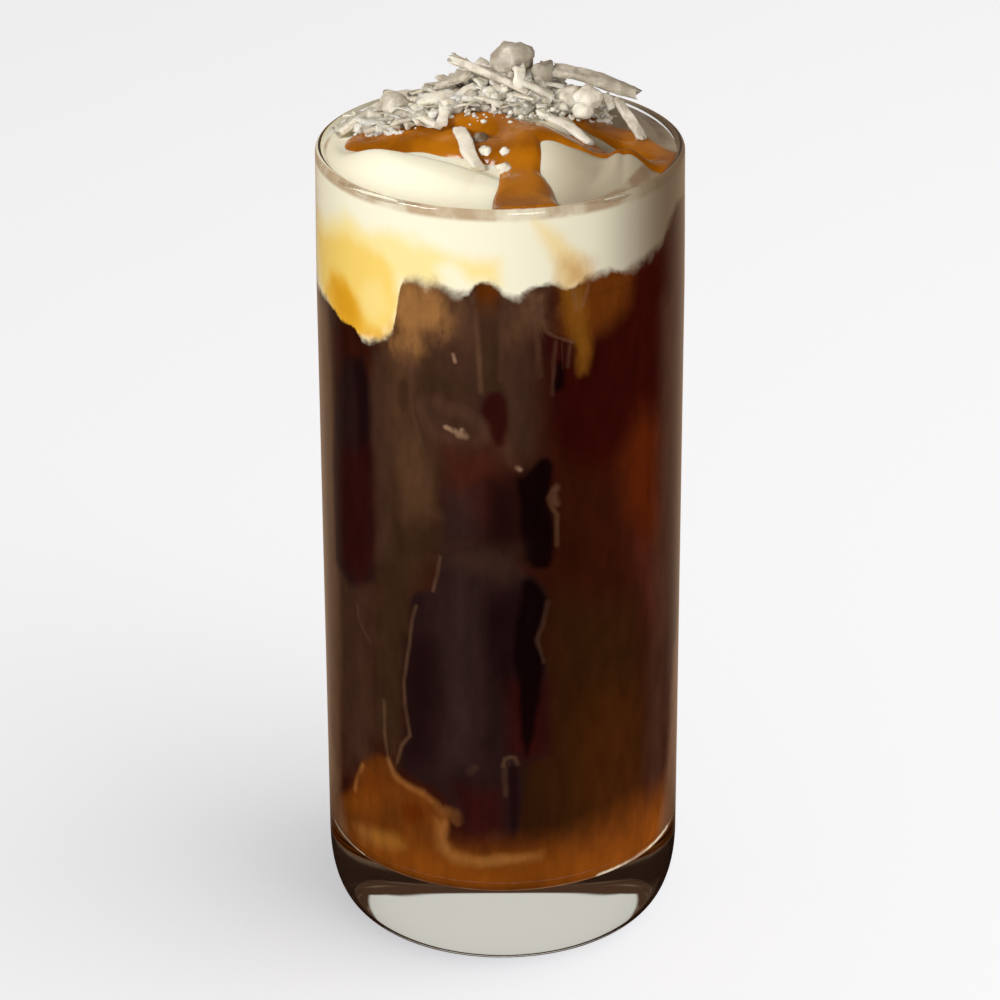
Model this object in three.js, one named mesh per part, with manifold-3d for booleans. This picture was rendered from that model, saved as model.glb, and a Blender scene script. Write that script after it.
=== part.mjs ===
// A tall glass of cold brew coffee, in millimetres, +Z up, standing on z = 0 with its axis on the z axis.
// The straight tumbler holds, from the bottom up, a caramel layer, the coffee and a deep cap of cold foam.
// The foam is heaped above the rim in soft folds, with thick caramel drizzled over it.
// A heap of shredded coconut lies on top.
// The front of the drink faces -Y.
import * as THREE from "three";
import { mergeVertices } from "three/addons/utils/BufferGeometryUtils.js";
import Module from "manifold-3d";

const wasm = await Module();
wasm.setup();

// Glass
const GLASS_HEIGHT = 152;
const GLASS_RADIUS = 33.2;
const RIM_RADIUS = 32.9;
const NARROWS_FROM = 126;
const WALL_THICKNESS = 1.8;
const BASE_THICKNESS = 16;
const FOOT_RADIUS = 26.9;
const BASE_CORNER_HEIGHT = 14.1;
const BASE_CORNER_SQUARENESS = 2.3;
const BASE_CORNER_STEPS = 8;
const INSIDE_CORNER_RADIUS = 3;
const HOLLOW_RADIUS = 18;
const HOLLOW_FLAT_RADIUS = 14;
const HOLLOW_DEPTH = 0.5;
const GLASS_SEGMENTS = 64;

// Contents: neighbours keep this clearance
const CLEARANCE = 0.3;
const BORE_RADIUS = GLASS_RADIUS - WALL_THICKNESS;
const FILL_RADIUS = BORE_RADIUS - CLEARANCE;
const FILL_SEGMENTS = 64;
const LAYER_RINGS = [0.3, 0.55, 0.78, 1];
const FOAM_TOP_RINGS = 10;
const FOAM_EDGE_RING = 0.96;
const EDGE_TRIM = 0.05;

// Caramel layer on the floor of the glass: its top is this far up, with swells at the wall
const CARAMEL_LEVEL = 24;
const CARAMEL_SWELLS = [
  { bearing: -52, height: 10, spread: 15 },
  { bearing: -38, height: 5, spread: 24 },
  { bearing: 52, height: 5, spread: 28 },
  { bearing: 140, height: 11, spread: 18 },
  { bearing: -140, height: 6, spread: 24 },
];

// Underside of the foam: its level at the wall, and the tongues that hang into the coffee
const FOAM_UNDERSIDE = 137;
const FOAM_TONGUES = [
  { bearing: -66, height: -11.6, spread: 32 },
  { bearing: -43, height: -3.5, spread: 9 },
  { bearing: 33, height: 0.4, spread: 18 },
  { bearing: 82, height: 6.5, spread: 18 },
  { bearing: 112, height: -7, spread: 18 },
  { bearing: 138, height: -4, spread: 11 },
  { bearing: 178, height: 2, spread: 20 },
];

// Top of the foam: a mound with soft folds laid round it
const FOAM_EDGE_LEVEL = 150.5;
const FOAM_EDGE_SWELLS = [
  { bearing: 0, height: 0.7, spread: 34 },
  { bearing: 180, height: 0.5, spread: 40 },
];
const MOUND = { x: 1, y: 7, height: 9, reach: 16 };
const FOLDS = [
  { from: [-28.5, -5], bend: [-18, -15], to: [-4, -20], height: 4.4, outside: 8, inside: 3.2 },
  { from: [4.5, -7], bend: [9, -12], to: [18, -16], height: 5, outside: 8, inside: 3 },
  { from: [21.5, -14.2], bend: [26, -14.5], to: [29, -12], height: 7, outside: 6, inside: 3 },
  { from: [-19, 3.5], bend: [-13, 1], to: [-7, 0.5], height: 1.8, outside: 2.6, inside: 3 },
  { from: [10, -1.5], bend: [14, -5], to: [18, -9.5], height: 2.4, outside: 2, inside: 2 },
  { from: [27, 1], bend: [27, 15], to: [12, 24], height: 2.6, outside: 5, inside: 4 },
  { from: [14, 27], bend: [-2, 26], to: [-13, 22], height: 3, outside: 6, inside: 4.5 },
  { from: [-12, 26], bend: [-25, 19], to: [-28, 7], height: 2.8, outside: 6, inside: 4 },
];
const FOLD_SAMPLES = 16;
const FOLD_TURNOVER = 1.5;
const CALM_FROM = 0.74;
const CALM_SHARE = 0.88;

// Caramel drizzle: ribbons over the foam, each with its half width at the start, middle and end
const DRIZZLE_HEIGHT = 1;
const DRIZZLE_DEPTH = 1;
const DRIZZLE_STEPS = 10;
const DRIZZLE_STRIPS = 5;
const DRIZZLES = [
  { from: [-24.4, 2], bend: [-15.8, -1], to: [0, -10.5], halfWidths: [3.6, 2.6, 3.6] },
  { from: [-9, -1.5], bend: [-3, -0.5], to: [8, -8.5], halfWidths: [2, 3.2, 3.4] },
  { from: [2.5, -7], bend: [3.8, -19], to: [4.6, -31], halfWidths: [4, 3.7, 6.4] },
  { from: [3, -6], bend: [15, -12.5], to: [28, -10], halfWidths: [3.4, 3.8, 3] },
  { from: [10, 5], bend: [19, 4.5], to: [30, -6], halfWidths: [3.2, 3.8, 3.6] },
  { from: [-2, 12], bend: [8, 19], to: [4, 30.5], halfWidths: [3, 2.2, 3.4] },
  { from: [2, 14], bend: [-10, 21], to: [-24, 13], halfWidths: [2, 2.4, 1.8] },
];

// Shredded coconut: a low core, the shreds that show most, and a scatter of more shreds and crumbs
const COCONUT_CORE = { x: -3.5, y: 7.5, halfLength: 23, halfWidth: 8.5, thickness: 2.8 };
const SHREDS_THAT_SHOW = [
  { name: "long strip", from: [-8.6, 3, 166.9], to: [8.9, 1.6, 159.2], width: 2.8, bow: 0.3 },
  { name: "white stub", from: [3.1, 1.4, 166.1], to: [3.9, 0.4, 162.6], width: 2.2, bow: 0.1 },
  { name: "short strip", from: [3.8, 0.6, 163.2], to: [9.4, 1.6, 160], width: 2.4, bow: 0.2 },
  { name: "bar at the right", from: [9.5, 8, 163], to: [24.2, 5, 159.4], width: 3.5, bow: 0.4 },
  { name: "dark block", from: [7.6, 7.2, 164.2], to: [8.4, 6.2, 160], width: 4.2, bow: 0.1 },
  { name: "blade", from: [-4.6, 5.6, 163.3], to: [-11.2, 6.6, 160.3], width: 2.6, bow: 0.2 },
  { name: "left bar", from: [-14.4, 2.6, 159.2], to: [-4.8, 1.6, 160], width: 2.8, bow: 0.4 },
  { name: "leaning shred", from: [20.7, 4, 158.8], to: [25, -0.7, 153], width: 2, bow: 0.4 },
  { name: "small piece", from: [18.7, 4, 159.6], to: [19.9, 3, 157.3], width: 1.7, bow: 0.2 },
  { name: "front shred", from: [6.9, -0.6, 158.1], to: [15.9, -8.6, 155.2], width: 2.1, bow: 0.5 },
  { name: "front left shred", from: [-7.2, -4.4, 156.2], to: [-4, -15.8, 153.4], width: 2.4, bow: 0.6 },
  { name: "pointed strip", from: [-17.1, 4.6, 156.8], to: [-11, -3.4, 156.6], width: 2.2, bow: 0.3 },
  { name: "upright strip", from: [-10.1, 1.6, 159.4], to: [-9.9, -3.5, 157], width: 1.9, bow: 0.2 },
  { name: "left block", from: [-20.8, 10, 157.2], to: [-16.4, 9, 157.6], width: 3.2, bow: 0.2 },
  { name: "rim strip", from: [-29.2, 5.3, 152.3], to: [-20.8, 9, 155.9], width: 2.8, bow: 0.3 },
];
const SCATTERED_SHREDS = 8;
const SHRED_LENGTHS = [6, 13];
const SHRED_WIDTHS = [1.6, 2.6];
const SHRED_SIDES = 5;
const SHRED_STEPS = 3;
const LUMPS = [
  { x: 2.2, y: 9, z: 164.8, size: 3.8 },
  { x: 12.1, y: 4, z: 159, size: 2.6 },
  { x: 15.5, y: 3, z: 159.4, size: 2.6 },
  { x: -18.7, y: 7, z: 157, size: 2.6 },
  { x: -22.7, y: 8, z: 154.3, size: 2.2 },
  { x: 0, y: 4, z: 159.7, size: 2.8 },
  { x: 3.9, y: 2, z: 158.3, size: 2.4 },
  { x: -3.3, y: -7.1, z: 155.3, size: 1.5 },
];
const CRUMBS = 22;
const CRUMB_SIZES = [0.8, 1.5];
const HEAP_REACH = 0.94;
const HEAP_SINK = 4;
const CORE_RINGS = 5;
const CORE_SEGMENTS = 28;
const GOLDEN_ANGLE = Math.PI * (3 - Math.sqrt(5));

// Colours
const GLASS_COLOUR = 0xe6ebe8;
const CARAMEL_COLOUR = 0x8a4a0c;
const COFFEE_COLOUR = 0x2b140b;
const FOAM_COLOUR = 0xeee6cb;
const COCONUT_COLOUR = 0xd8d2c2;

/** A steady number from 0 to 1 for an index and a salt. */
function chance(index, salt) {
  const s = Math.sin(index * 12.9898 + salt * 78.233) * 43758.5453;
  return s - Math.floor(s);
}

/** A number between the two limits, at that share of the way. */
function between(limits, share) {
  return limits[0] + (limits[1] - limits[0]) * share;
}

/** A closed three.js geometry as a manifold-3d solid. */
function solidOf(geometry) {
  const bare = geometry.clone();
  bare.deleteAttribute("normal");
  bare.deleteAttribute("uv");
  const merged = mergeVertices(bare, 1e-4);
  return new wasm.Manifold(
    new wasm.Mesh({
      numProp: 3,
      vertProperties: new Float32Array(merged.attributes.position.array),
      triVerts: new Uint32Array(merged.index.array),
    }),
  );
}

/** The largest body of a solid as a three.js geometry, without the scraps that cutting leaves. */
function geometryOf(solid) {
  const [body] = solid.decompose().sort((a, b) => b.volume() - a.volume());
  const mesh = body.getMesh();
  const geometry = new THREE.BufferGeometry();
  geometry.setAttribute("position", new THREE.BufferAttribute(new Float32Array(mesh.vertProperties), 3));
  geometry.setIndex(new THREE.BufferAttribute(new Uint32Array(mesh.triVerts), 1));
  geometry.computeVertexNormals();
  return geometry;
}

/** The bearing of a point round the glass, in degrees: 0 faces the front, and it grows to the right. */
function bearingOf(x, y) {
  return THREE.MathUtils.radToDeg(Math.atan2(x, -y));
}

/** The sum of the swells at a bearing, each a smooth bump with a broad top that wraps round the glass. */
function swellsAt(bearing, swells) {
  return swells.reduce((sum, swell) => {
    const away = THREE.MathUtils.euclideanModulo(bearing - swell.bearing + 180, 360) - 180;
    return sum + swell.height * Math.exp(-((away / swell.spread) ** 4));
  }, 0);
}

/** A level that swells at the wall and is calm at the axis. */
function wavyLevel(x, y, level, swells) {
  const outwards = THREE.MathUtils.smoothstep(Math.hypot(x, y), 0.2 * FILL_RADIUS, FILL_RADIUS);
  return level + outwards * swellsAt(bearingOf(x, y), swells);
}

/** A quadratic curve on plan through its three named points. */
function planCurve({ from, bend, to }) {
  return new THREE.QuadraticBezierCurve(
    new THREE.Vector2(...from),
    new THREE.Vector2(...bend),
    new THREE.Vector2(...to),
  );
}

/** The nearest point of a line to a place on plan, how far away it is, and its share of the way along. */
function nearestOn(line, place) {
  let best = { away: Infinity };
  for (let i = 1; i < line.length; i++) {
    const step = line[i].clone().sub(line[i - 1]);
    const share = THREE.MathUtils.clamp(place.clone().sub(line[i - 1]).dot(step) / step.lengthSq(), 0, 1);
    const point = line[i - 1].clone().addScaledVector(step, share);
    const away = point.distanceTo(place);
    if (away < best.away) {
      best = { point, away, along: (i - 1 + share) / (line.length - 1) };
    }
  }
  return best;
}

const foldLines = FOLDS.map((fold) => planCurve(fold).getPoints(FOLD_SAMPLES));

/** How much a fold lifts the foam at a place: a ridge that is steep on the side of the mound. */
function foldLift(fold, line, place) {
  const { point, away, along } = nearestOn(line, place);
  const outwards = THREE.MathUtils.smoothstep(place.length() - point.length(), -FOLD_TURNOVER, FOLD_TURNOVER);
  const reach = THREE.MathUtils.lerp(fold.inside, fold.outside, outwards);
  const taper = Math.sqrt(Math.sin(Math.PI * (0.08 + 0.84 * along)));
  return fold.height * taper * Math.exp(-((away / reach) ** 2));
}

/** Height of the top of the foam. */
function foamTop(x, y) {
  const place = new THREE.Vector2(x, y);
  const mound = MOUND.height * Math.exp(-((Math.hypot(x - MOUND.x, y - MOUND.y) / MOUND.reach) ** 2));
  const folds = FOLDS.reduce((sum, fold, i) => sum + foldLift(fold, foldLines[i], place), 0);
  const calm = CALM_SHARE * THREE.MathUtils.smoothstep(place.length(), CALM_FROM * FILL_RADIUS, FILL_RADIUS);
  return wavyLevel(x, y, FOAM_EDGE_LEVEL, FOAM_EDGE_SWELLS) + mound + folds * (1 - calm);
}

/** Height of the underside of the foam. */
function foamUnderside(x, y) {
  return wavyLevel(x, y, FOAM_UNDERSIDE, FOAM_TONGUES);
}

/** Height of the top of the caramel layer. */
function caramelTop(x, y) {
  return wavyLevel(x, y, CARAMEL_LEVEL, CARAMEL_SWELLS);
}

/** Height of the floor of the glass, with the rounded corner where it meets the wall. */
function glassFloor(x, y) {
  const past = Math.hypot(x, y) - (BORE_RADIUS - INSIDE_CORNER_RADIUS);
  const rise = past > 0 ? INSIDE_CORNER_RADIUS - Math.sqrt(INSIDE_CORNER_RADIUS ** 2 - past ** 2) : 0;
  return BASE_THICKNESS + CLEARANCE + rise;
}

/** A round body between an upper and a lower sheet, on plan an ellipse about its centre. */
function roundBody({ top, bottom, halfLength, halfWidth = halfLength, x = 0, y = 0, segments }) {
  const positions = [];
  const index = [];
  const triangle = (a, b, c, facesUp) => index.push(a, ...(facesUp ? [b, c] : [c, b]));
  const addSheet = ({ height, rings }, facesUp) => {
    const centre = positions.length / 3;
    const vertex = (ring, i) => centre + 1 + ring * segments + (i % segments);
    positions.push(x, y, height(x, y));
    rings.forEach((share, ring) => {
      for (let i = 0; i < segments; i++) {
        const turn = (2 * Math.PI * i) / segments;
        const px = x + halfLength * share * Math.cos(turn);
        const py = y + halfWidth * share * Math.sin(turn);
        positions.push(px, py, height(px, py));
        if (ring === 0) {
          triangle(centre, vertex(0, i), vertex(0, i + 1), facesUp);
        } else {
          triangle(vertex(ring - 1, i), vertex(ring, i), vertex(ring, i + 1), facesUp);
          triangle(vertex(ring - 1, i), vertex(ring, i + 1), vertex(ring - 1, i + 1), facesUp);
        }
      }
    });
    return (i) => vertex(rings.length - 1, i);
  };
  const upper = addSheet(top, true);
  const lower = addSheet(bottom, false);
  for (let i = 0; i < segments; i++) {
    index.push(upper(i), lower(i), lower(i + 1), upper(i), lower(i + 1), upper(i + 1));
  }
  const geometry = new THREE.BufferGeometry();
  geometry.setAttribute("position", new THREE.Float32BufferAttribute(positions, 3));
  geometry.setIndex(index);
  geometry.computeVertexNormals();
  return geometry;
}

/** Rings at even steps, given as shares of the radius. */
function evenRings(count) {
  return Array.from({ length: count }, (_, i) => (i + 1) / count);
}

/** The tumbler: a flat foot round a shallow hollow, a rounded corner, straight walls and a rolled rim. */
function makeGlass() {
  const profile = [];
  const arc = (x, y, rx, ry, start, end, steps) => {
    for (let i = 0; i <= steps; i++) {
      const turn = THREE.MathUtils.degToRad(start + ((end - start) * i) / steps);
      profile.push(new THREE.Vector2(x + rx * Math.cos(turn), y + ry * Math.sin(turn)));
    }
  };
  const rim = (RIM_RADIUS - BORE_RADIUS) / 2;
  profile.push(new THREE.Vector2(0, HOLLOW_DEPTH));
  profile.push(new THREE.Vector2(HOLLOW_FLAT_RADIUS, HOLLOW_DEPTH));
  profile.push(new THREE.Vector2(HOLLOW_RADIUS, 0));
  for (let i = 0; i <= BASE_CORNER_STEPS; i++) {
    const turn = (Math.PI / 2) * (i / BASE_CORNER_STEPS);
    const out = Math.sin(turn) ** (2 / BASE_CORNER_SQUARENESS);
    const down = Math.cos(turn) ** (2 / BASE_CORNER_SQUARENESS);
    const x = THREE.MathUtils.lerp(FOOT_RADIUS, GLASS_RADIUS, out);
    profile.push(new THREE.Vector2(x, BASE_CORNER_HEIGHT * (1 - down)));
  }
  profile.push(new THREE.Vector2(GLASS_RADIUS, NARROWS_FROM));
  arc(RIM_RADIUS - rim, GLASS_HEIGHT - rim, rim, rim, 0, 180, 4);
  arc(
    BORE_RADIUS - INSIDE_CORNER_RADIUS,
    BASE_THICKNESS + INSIDE_CORNER_RADIUS,
    INSIDE_CORNER_RADIUS,
    INSIDE_CORNER_RADIUS,
    0,
    -90,
    3,
  );
  profile.push(new THREE.Vector2(0, BASE_THICKNESS));
  return new THREE.LatheGeometry(profile, GLASS_SEGMENTS).rotateX(Math.PI / 2);
}

/** The caramel that has sunk to the floor of the glass. */
function makeCaramelLayer() {
  const cornerStart = (BORE_RADIUS - INSIDE_CORNER_RADIUS) / FILL_RADIUS;
  return roundBody({
    top: { height: caramelTop, rings: LAYER_RINGS },
    bottom: { height: glassFloor, rings: [cornerStart, 0.96, 0.985, 1] },
    halfLength: FILL_RADIUS,
    segments: FILL_SEGMENTS,
  });
}

/** The coffee, from the caramel layer up to the foam. */
function makeColdBrew() {
  return roundBody({
    top: { height: (x, y) => foamUnderside(x, y) - CLEARANCE, rings: LAYER_RINGS },
    bottom: { height: (x, y) => caramelTop(x, y) + CLEARANCE, rings: LAYER_RINGS },
    halfLength: FILL_RADIUS,
    segments: FILL_SEGMENTS,
  });
}

/** One ribbon of drizzle: it follows the foam, is rounded across, and is sunk a little into the foam. */
function makeDrizzle(ribbon) {
  const steps = DRIZZLE_STEPS;
  const across = DRIZZLE_STRIPS;
  const line = planCurve(ribbon);
  const widths = new THREE.SplineCurve(ribbon.halfWidths.map((width, i) => new THREE.Vector2(i, width)));
  const positions = [];
  const index = [];
  for (let i = 0; i <= steps; i++) {
    const along = i / steps;
    const centre = line.getPoint(along);
    const tangent = line.getTangent(along);
    const taper = Math.sqrt(Math.max(0.05, Math.sin(Math.PI * Math.min(0.5, along * 2.5))));
    const halfWidth = widths.getPoint(along).y * taper;
    for (let j = 0; j <= across; j++) {
      const side = (2 * j) / across - 1;
      const x = centre.x - tangent.y * side * halfWidth;
      const y = centre.y + tangent.x * side * halfWidth;
      const swell = DRIZZLE_HEIGHT * taper * Math.sqrt(1 - 0.96 * side * side);
      positions.push(x, y, foamTop(x, y) + swell, x, y, foamTop(x, y) - DRIZZLE_DEPTH);
    }
  }
  const vertex = (i, j, under) => 2 * (i * (across + 1) + j) + under;
  const quad = (a, b, c, d) => index.push(a, b, c, a, c, d);
  for (let i = 0; i < steps; i++) {
    for (let j = 0; j < across; j++) {
      quad(vertex(i, j, 0), vertex(i + 1, j, 0), vertex(i + 1, j + 1, 0), vertex(i, j + 1, 0));
      quad(vertex(i, j, 1), vertex(i, j + 1, 1), vertex(i + 1, j + 1, 1), vertex(i + 1, j, 1));
    }
    quad(vertex(i, 0, 1), vertex(i + 1, 0, 1), vertex(i + 1, 0, 0), vertex(i, 0, 0));
    quad(vertex(i, across, 0), vertex(i + 1, across, 0), vertex(i + 1, across, 1), vertex(i, across, 1));
  }
  for (let j = 0; j < across; j++) {
    quad(vertex(0, j, 0), vertex(0, j + 1, 0), vertex(0, j + 1, 1), vertex(0, j, 1));
    quad(vertex(steps, j, 1), vertex(steps, j + 1, 1), vertex(steps, j + 1, 0), vertex(steps, j, 0));
  }
  const geometry = new THREE.BufferGeometry();
  geometry.setAttribute("position", new THREE.Float32BufferAttribute(positions, 3));
  geometry.setIndex(index);
  return geometry;
}

/** A tall cylinder about the axis, to keep pieces inside the glass. */
function insideOf(radius) {
  const cylinder = new THREE.CylinderGeometry(radius, radius, 2 * GLASS_HEIGHT, FILL_SEGMENTS);
  return solidOf(cylinder.rotateX(Math.PI / 2).translate(0, 0, GLASS_HEIGHT));
}

/** The foam with its drizzle fused on. */
function makeFoam() {
  const cap = roundBody({
    top: { height: foamTop, rings: [...evenRings(FOAM_TOP_RINGS).map((share) => share * FOAM_EDGE_RING), 1] },
    bottom: { height: foamUnderside, rings: LAYER_RINGS },
    halfLength: FILL_RADIUS,
    segments: FILL_SEGMENTS,
  });
  const within = insideOf(FILL_RADIUS - EDGE_TRIM);
  const ribbons = DRIZZLES.map((ribbon) => solidOf(makeDrizzle(ribbon)).intersect(within));
  return ribbons.reduce((foam, ribbon) => foam.add(ribbon), solidOf(cap));
}

/** One shred of coconut between two points: a strip with an uneven section and a slight bow. */
function makeShred({ from, to, width, bow }, index) {
  const start = new THREE.Vector3(...from);
  const end = new THREE.Vector3(...to);
  const middle = start.clone().lerp(end, 0.5);
  middle.z += bow * 2;
  const section = new THREE.Shape(
    Array.from({ length: SHRED_SIDES }, (_, i) => {
      const turn = (2 * Math.PI * i) / SHRED_SIDES;
      const reach = (width / 2) * (0.85 + 0.3 * chance(index, i));
      return new THREE.Vector2(reach * Math.cos(turn), 0.8 * reach * Math.sin(turn));
    }),
  );
  return new THREE.ExtrudeGeometry(section, {
    steps: SHRED_STEPS,
    extrudePath: new THREE.QuadraticBezierCurve3(start, middle, end),
  });
}

/** A lump of coconut: an uneven ball, flatter than it is wide. */
function makeLump({ x, y, z, size }, index) {
  const ball = new THREE.IcosahedronGeometry(1, 1);
  const lump = mergeVertices(ball.deleteAttribute("normal").deleteAttribute("uv"));
  const points = lump.attributes.position;
  for (let i = 0; i < points.count; i++) {
    const reach = size * (0.72 + 0.42 * chance(i, index));
    points.setXYZ(i, reach * points.getX(i), 0.85 * reach * points.getY(i), 0.78 * reach * points.getZ(i));
  }
  return lump.translate(x, y, z);
}

/** A place in the heap for the item at that index, spread evenly by the golden angle. */
function heapPlace(index, count, salt) {
  const share = Math.sqrt((index + 0.5) / count);
  const turn = index * GOLDEN_ANGLE + salt;
  const x = COCONUT_CORE.x + HEAP_REACH * COCONUT_CORE.halfLength * share * Math.cos(turn);
  const y = COCONUT_CORE.y + HEAP_REACH * COCONUT_CORE.halfWidth * share * Math.sin(turn);
  return { x, y, z: coconutTop(x, y) };
}

/** Height of the top of the heap's core: the foam below it, and a bumpy layer that thins to its edge. */
function coconutTop(x, y) {
  const { x: cx, y: cy, halfLength, halfWidth, thickness } = COCONUT_CORE;
  const out = Math.min(1, Math.hypot((x - cx) / halfLength, (y - cy) / halfWidth));
  const bumps = 0.5 * Math.sin(1.9 * x + 0.7 * y) * Math.sin(1.7 * y - 0.6 * x);
  return foamTop(x, y) + (thickness + bumps) * Math.sqrt(1 - 0.9 * out * out);
}

/** The shreds that no photograph fixes one by one, laid over the core at seeded places. */
function scatteredShreds() {
  return Array.from({ length: SCATTERED_SHREDS }, (_, i) => {
    const place = heapPlace(i, SCATTERED_SHREDS, 0.6);
    const turn = Math.PI * chance(i, 1);
    const half = between(SHRED_LENGTHS, chance(i, 2)) / 2;
    const tilt = 1.6 * (chance(i, 3) - 0.4);
    const step = [half * Math.cos(turn), 0.7 * half * Math.sin(turn)];
    const level = place.z + 0.3 * chance(i, 5);
    return {
      from: [place.x - step[0], place.y - step[1], level - tilt],
      to: [place.x + step[0], place.y + step[1], level + tilt],
      width: between(SHRED_WIDTHS, chance(i, 4)),
      bow: 0.5,
    };
  });
}

/** The heap of coconut: a core with lumps, shreds and crumbs fused on, cut clear of the foam and the glass. */
function makeCoconut(foam) {
  const core = roundBody({
    top: { height: coconutTop, rings: evenRings(CORE_RINGS) },
    bottom: { height: (x, y) => foamTop(x, y) - DRIZZLE_DEPTH, rings: evenRings(CORE_RINGS) },
    ...COCONUT_CORE,
    segments: CORE_SEGMENTS,
  });
  const lumps = LUMPS.map(makeLump);
  const shreds = [...SHREDS_THAT_SHOW, ...scatteredShreds()].map(makeShred);
  const crumbs = Array.from({ length: CRUMBS }, (_, i) => {
    const { x, y, z } = heapPlace(i, CRUMBS, 2.1);
    const size = between(CRUMB_SIZES, chance(i, 7));
    return new THREE.IcosahedronGeometry(size, 0).rotateX(3 * chance(i, 8)).translate(x, y, z);
  });
  const pieces = [core, ...lumps, ...shreds, ...crumbs].map(solidOf);
  const heap = pieces.reduce((sum, piece) => sum.add(piece));
  const below = foam.add(foam.translate([0, 0, -HEAP_SINK])).add(foam.translate([0, 0, CLEARANCE]));
  return heap.subtract(below).intersect(insideOf(FILL_RADIUS - EDGE_TRIM));
}

/** A named mesh with its own material. */
function mesh(name, geometry, colour, roughness, extra = {}) {
  const material = new THREE.MeshStandardMaterial({ color: colour, roughness, metalness: 0, ...extra });
  const made = new THREE.Mesh(geometry, material);
  made.name = name;
  return made;
}

const foam = makeFoam();
const drink = new THREE.Group();
drink.add(
  mesh("glass", makeGlass(), GLASS_COLOUR, 0.03, { transparent: true, opacity: 0.3 }),
  mesh("caramel_layer", makeCaramelLayer(), CARAMEL_COLOUR, 0.25),
  mesh("cold_brew", makeColdBrew(), COFFEE_COLOUR, 0.15),
  mesh("cold_foam", geometryOf(foam), FOAM_COLOUR, 0.45),
  mesh("coconut_heap", geometryOf(makeCoconut(foam)), COCONUT_COLOUR, 0.7),
);

export default drink;
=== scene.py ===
"""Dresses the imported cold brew: a clear tumbler with coffee over caramel, foam, drizzle and coconut."""
import math
import random

import bmesh
import bpy
import numpy as np
from bpy.props import FloatProperty, FloatVectorProperty, IntProperty, PointerProperty
from mathutils import Euler, Matrix, Vector, noise

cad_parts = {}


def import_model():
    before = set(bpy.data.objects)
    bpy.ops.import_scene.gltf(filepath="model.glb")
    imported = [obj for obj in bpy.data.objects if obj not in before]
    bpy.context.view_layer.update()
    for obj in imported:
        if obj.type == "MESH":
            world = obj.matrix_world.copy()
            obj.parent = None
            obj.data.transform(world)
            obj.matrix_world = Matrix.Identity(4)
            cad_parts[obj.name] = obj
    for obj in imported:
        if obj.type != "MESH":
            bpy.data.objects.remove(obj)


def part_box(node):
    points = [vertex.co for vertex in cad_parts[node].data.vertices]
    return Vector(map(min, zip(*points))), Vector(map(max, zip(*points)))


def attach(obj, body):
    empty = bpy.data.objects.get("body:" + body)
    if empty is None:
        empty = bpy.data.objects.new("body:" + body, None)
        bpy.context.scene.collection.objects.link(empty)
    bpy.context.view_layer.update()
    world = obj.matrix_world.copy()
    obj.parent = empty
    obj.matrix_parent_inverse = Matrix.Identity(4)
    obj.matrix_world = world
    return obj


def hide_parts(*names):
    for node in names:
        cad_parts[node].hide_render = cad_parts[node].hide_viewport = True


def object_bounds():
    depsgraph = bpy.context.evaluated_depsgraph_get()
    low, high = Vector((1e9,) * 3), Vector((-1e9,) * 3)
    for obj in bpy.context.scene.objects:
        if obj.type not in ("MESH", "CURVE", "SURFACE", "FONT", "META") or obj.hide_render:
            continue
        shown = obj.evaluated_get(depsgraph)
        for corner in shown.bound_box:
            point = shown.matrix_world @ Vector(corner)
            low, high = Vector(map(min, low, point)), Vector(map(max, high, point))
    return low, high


bl_info = {
    "name": "Caramel cold brew",
    "version": (1, 0, 0),
    "blender": (4, 5, 0),
    "location": "View3D > Sidebar > Drink",
    "description": "Builds a glass of layered cold brew with foam, caramel and coconut",
    "category": "Object",
}

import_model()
CAD_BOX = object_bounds()
MM = 0.001
MERGE_DISTANCE = 1e-7
FAR_AWAY = 1e9

# The glass, in millimetres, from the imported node
GLASS_LOW, GLASS_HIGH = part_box("glass")
GLASS_HEIGHT = (GLASS_HIGH[2] - GLASS_LOW[2]) / MM
GLASS_RADIUS = (GLASS_HIGH[0] - GLASS_LOW[0]) / 2 / MM
RIM_RADIUS = GLASS_RADIUS - 0.3
WALL = 1.8
BORE_RADIUS = GLASS_RADIUS - WALL
BASE_THICKNESS = 16
FOOT_RADIUS = 26.9
BASE_CORNER_HEIGHT = 14.1
BASE_CORNER_SQUARENESS = 2.3
INSIDE_CORNER_RADIUS = 3
HOLLOW_RADIUS = 18
HOLLOW_FLAT_RADIUS = 14
HOLLOW_DEPTH = 0.5
BASE_CORNER_STEPS = 32
CORNER_STEPS = 12
RIM_STEPS = 14
FLOOR_RING_RADII = (20, 10, 0)
# Rings up the wall: height, then how far they lie inside the widest radius
WALL_RINGS = ((40, 0), (90, 0), (126, 0), (136, 0.1), (146, 0.25))

# What fills the glass reaches just into its wall, the foam a little further than the coffee it laps
SEAT = 0.04
COFFEE_RADIUS = BORE_RADIUS + SEAT
CARAMEL_RADIUS = COFFEE_RADIUS - 0.02
FOAM_RADIUS = BORE_RADIUS + 0.09
FOAM_FOOT_RADIUS = COFFEE_RADIUS - 0.06
LAYER_LAP = 1.2
FOAM_LAP = 3

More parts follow.
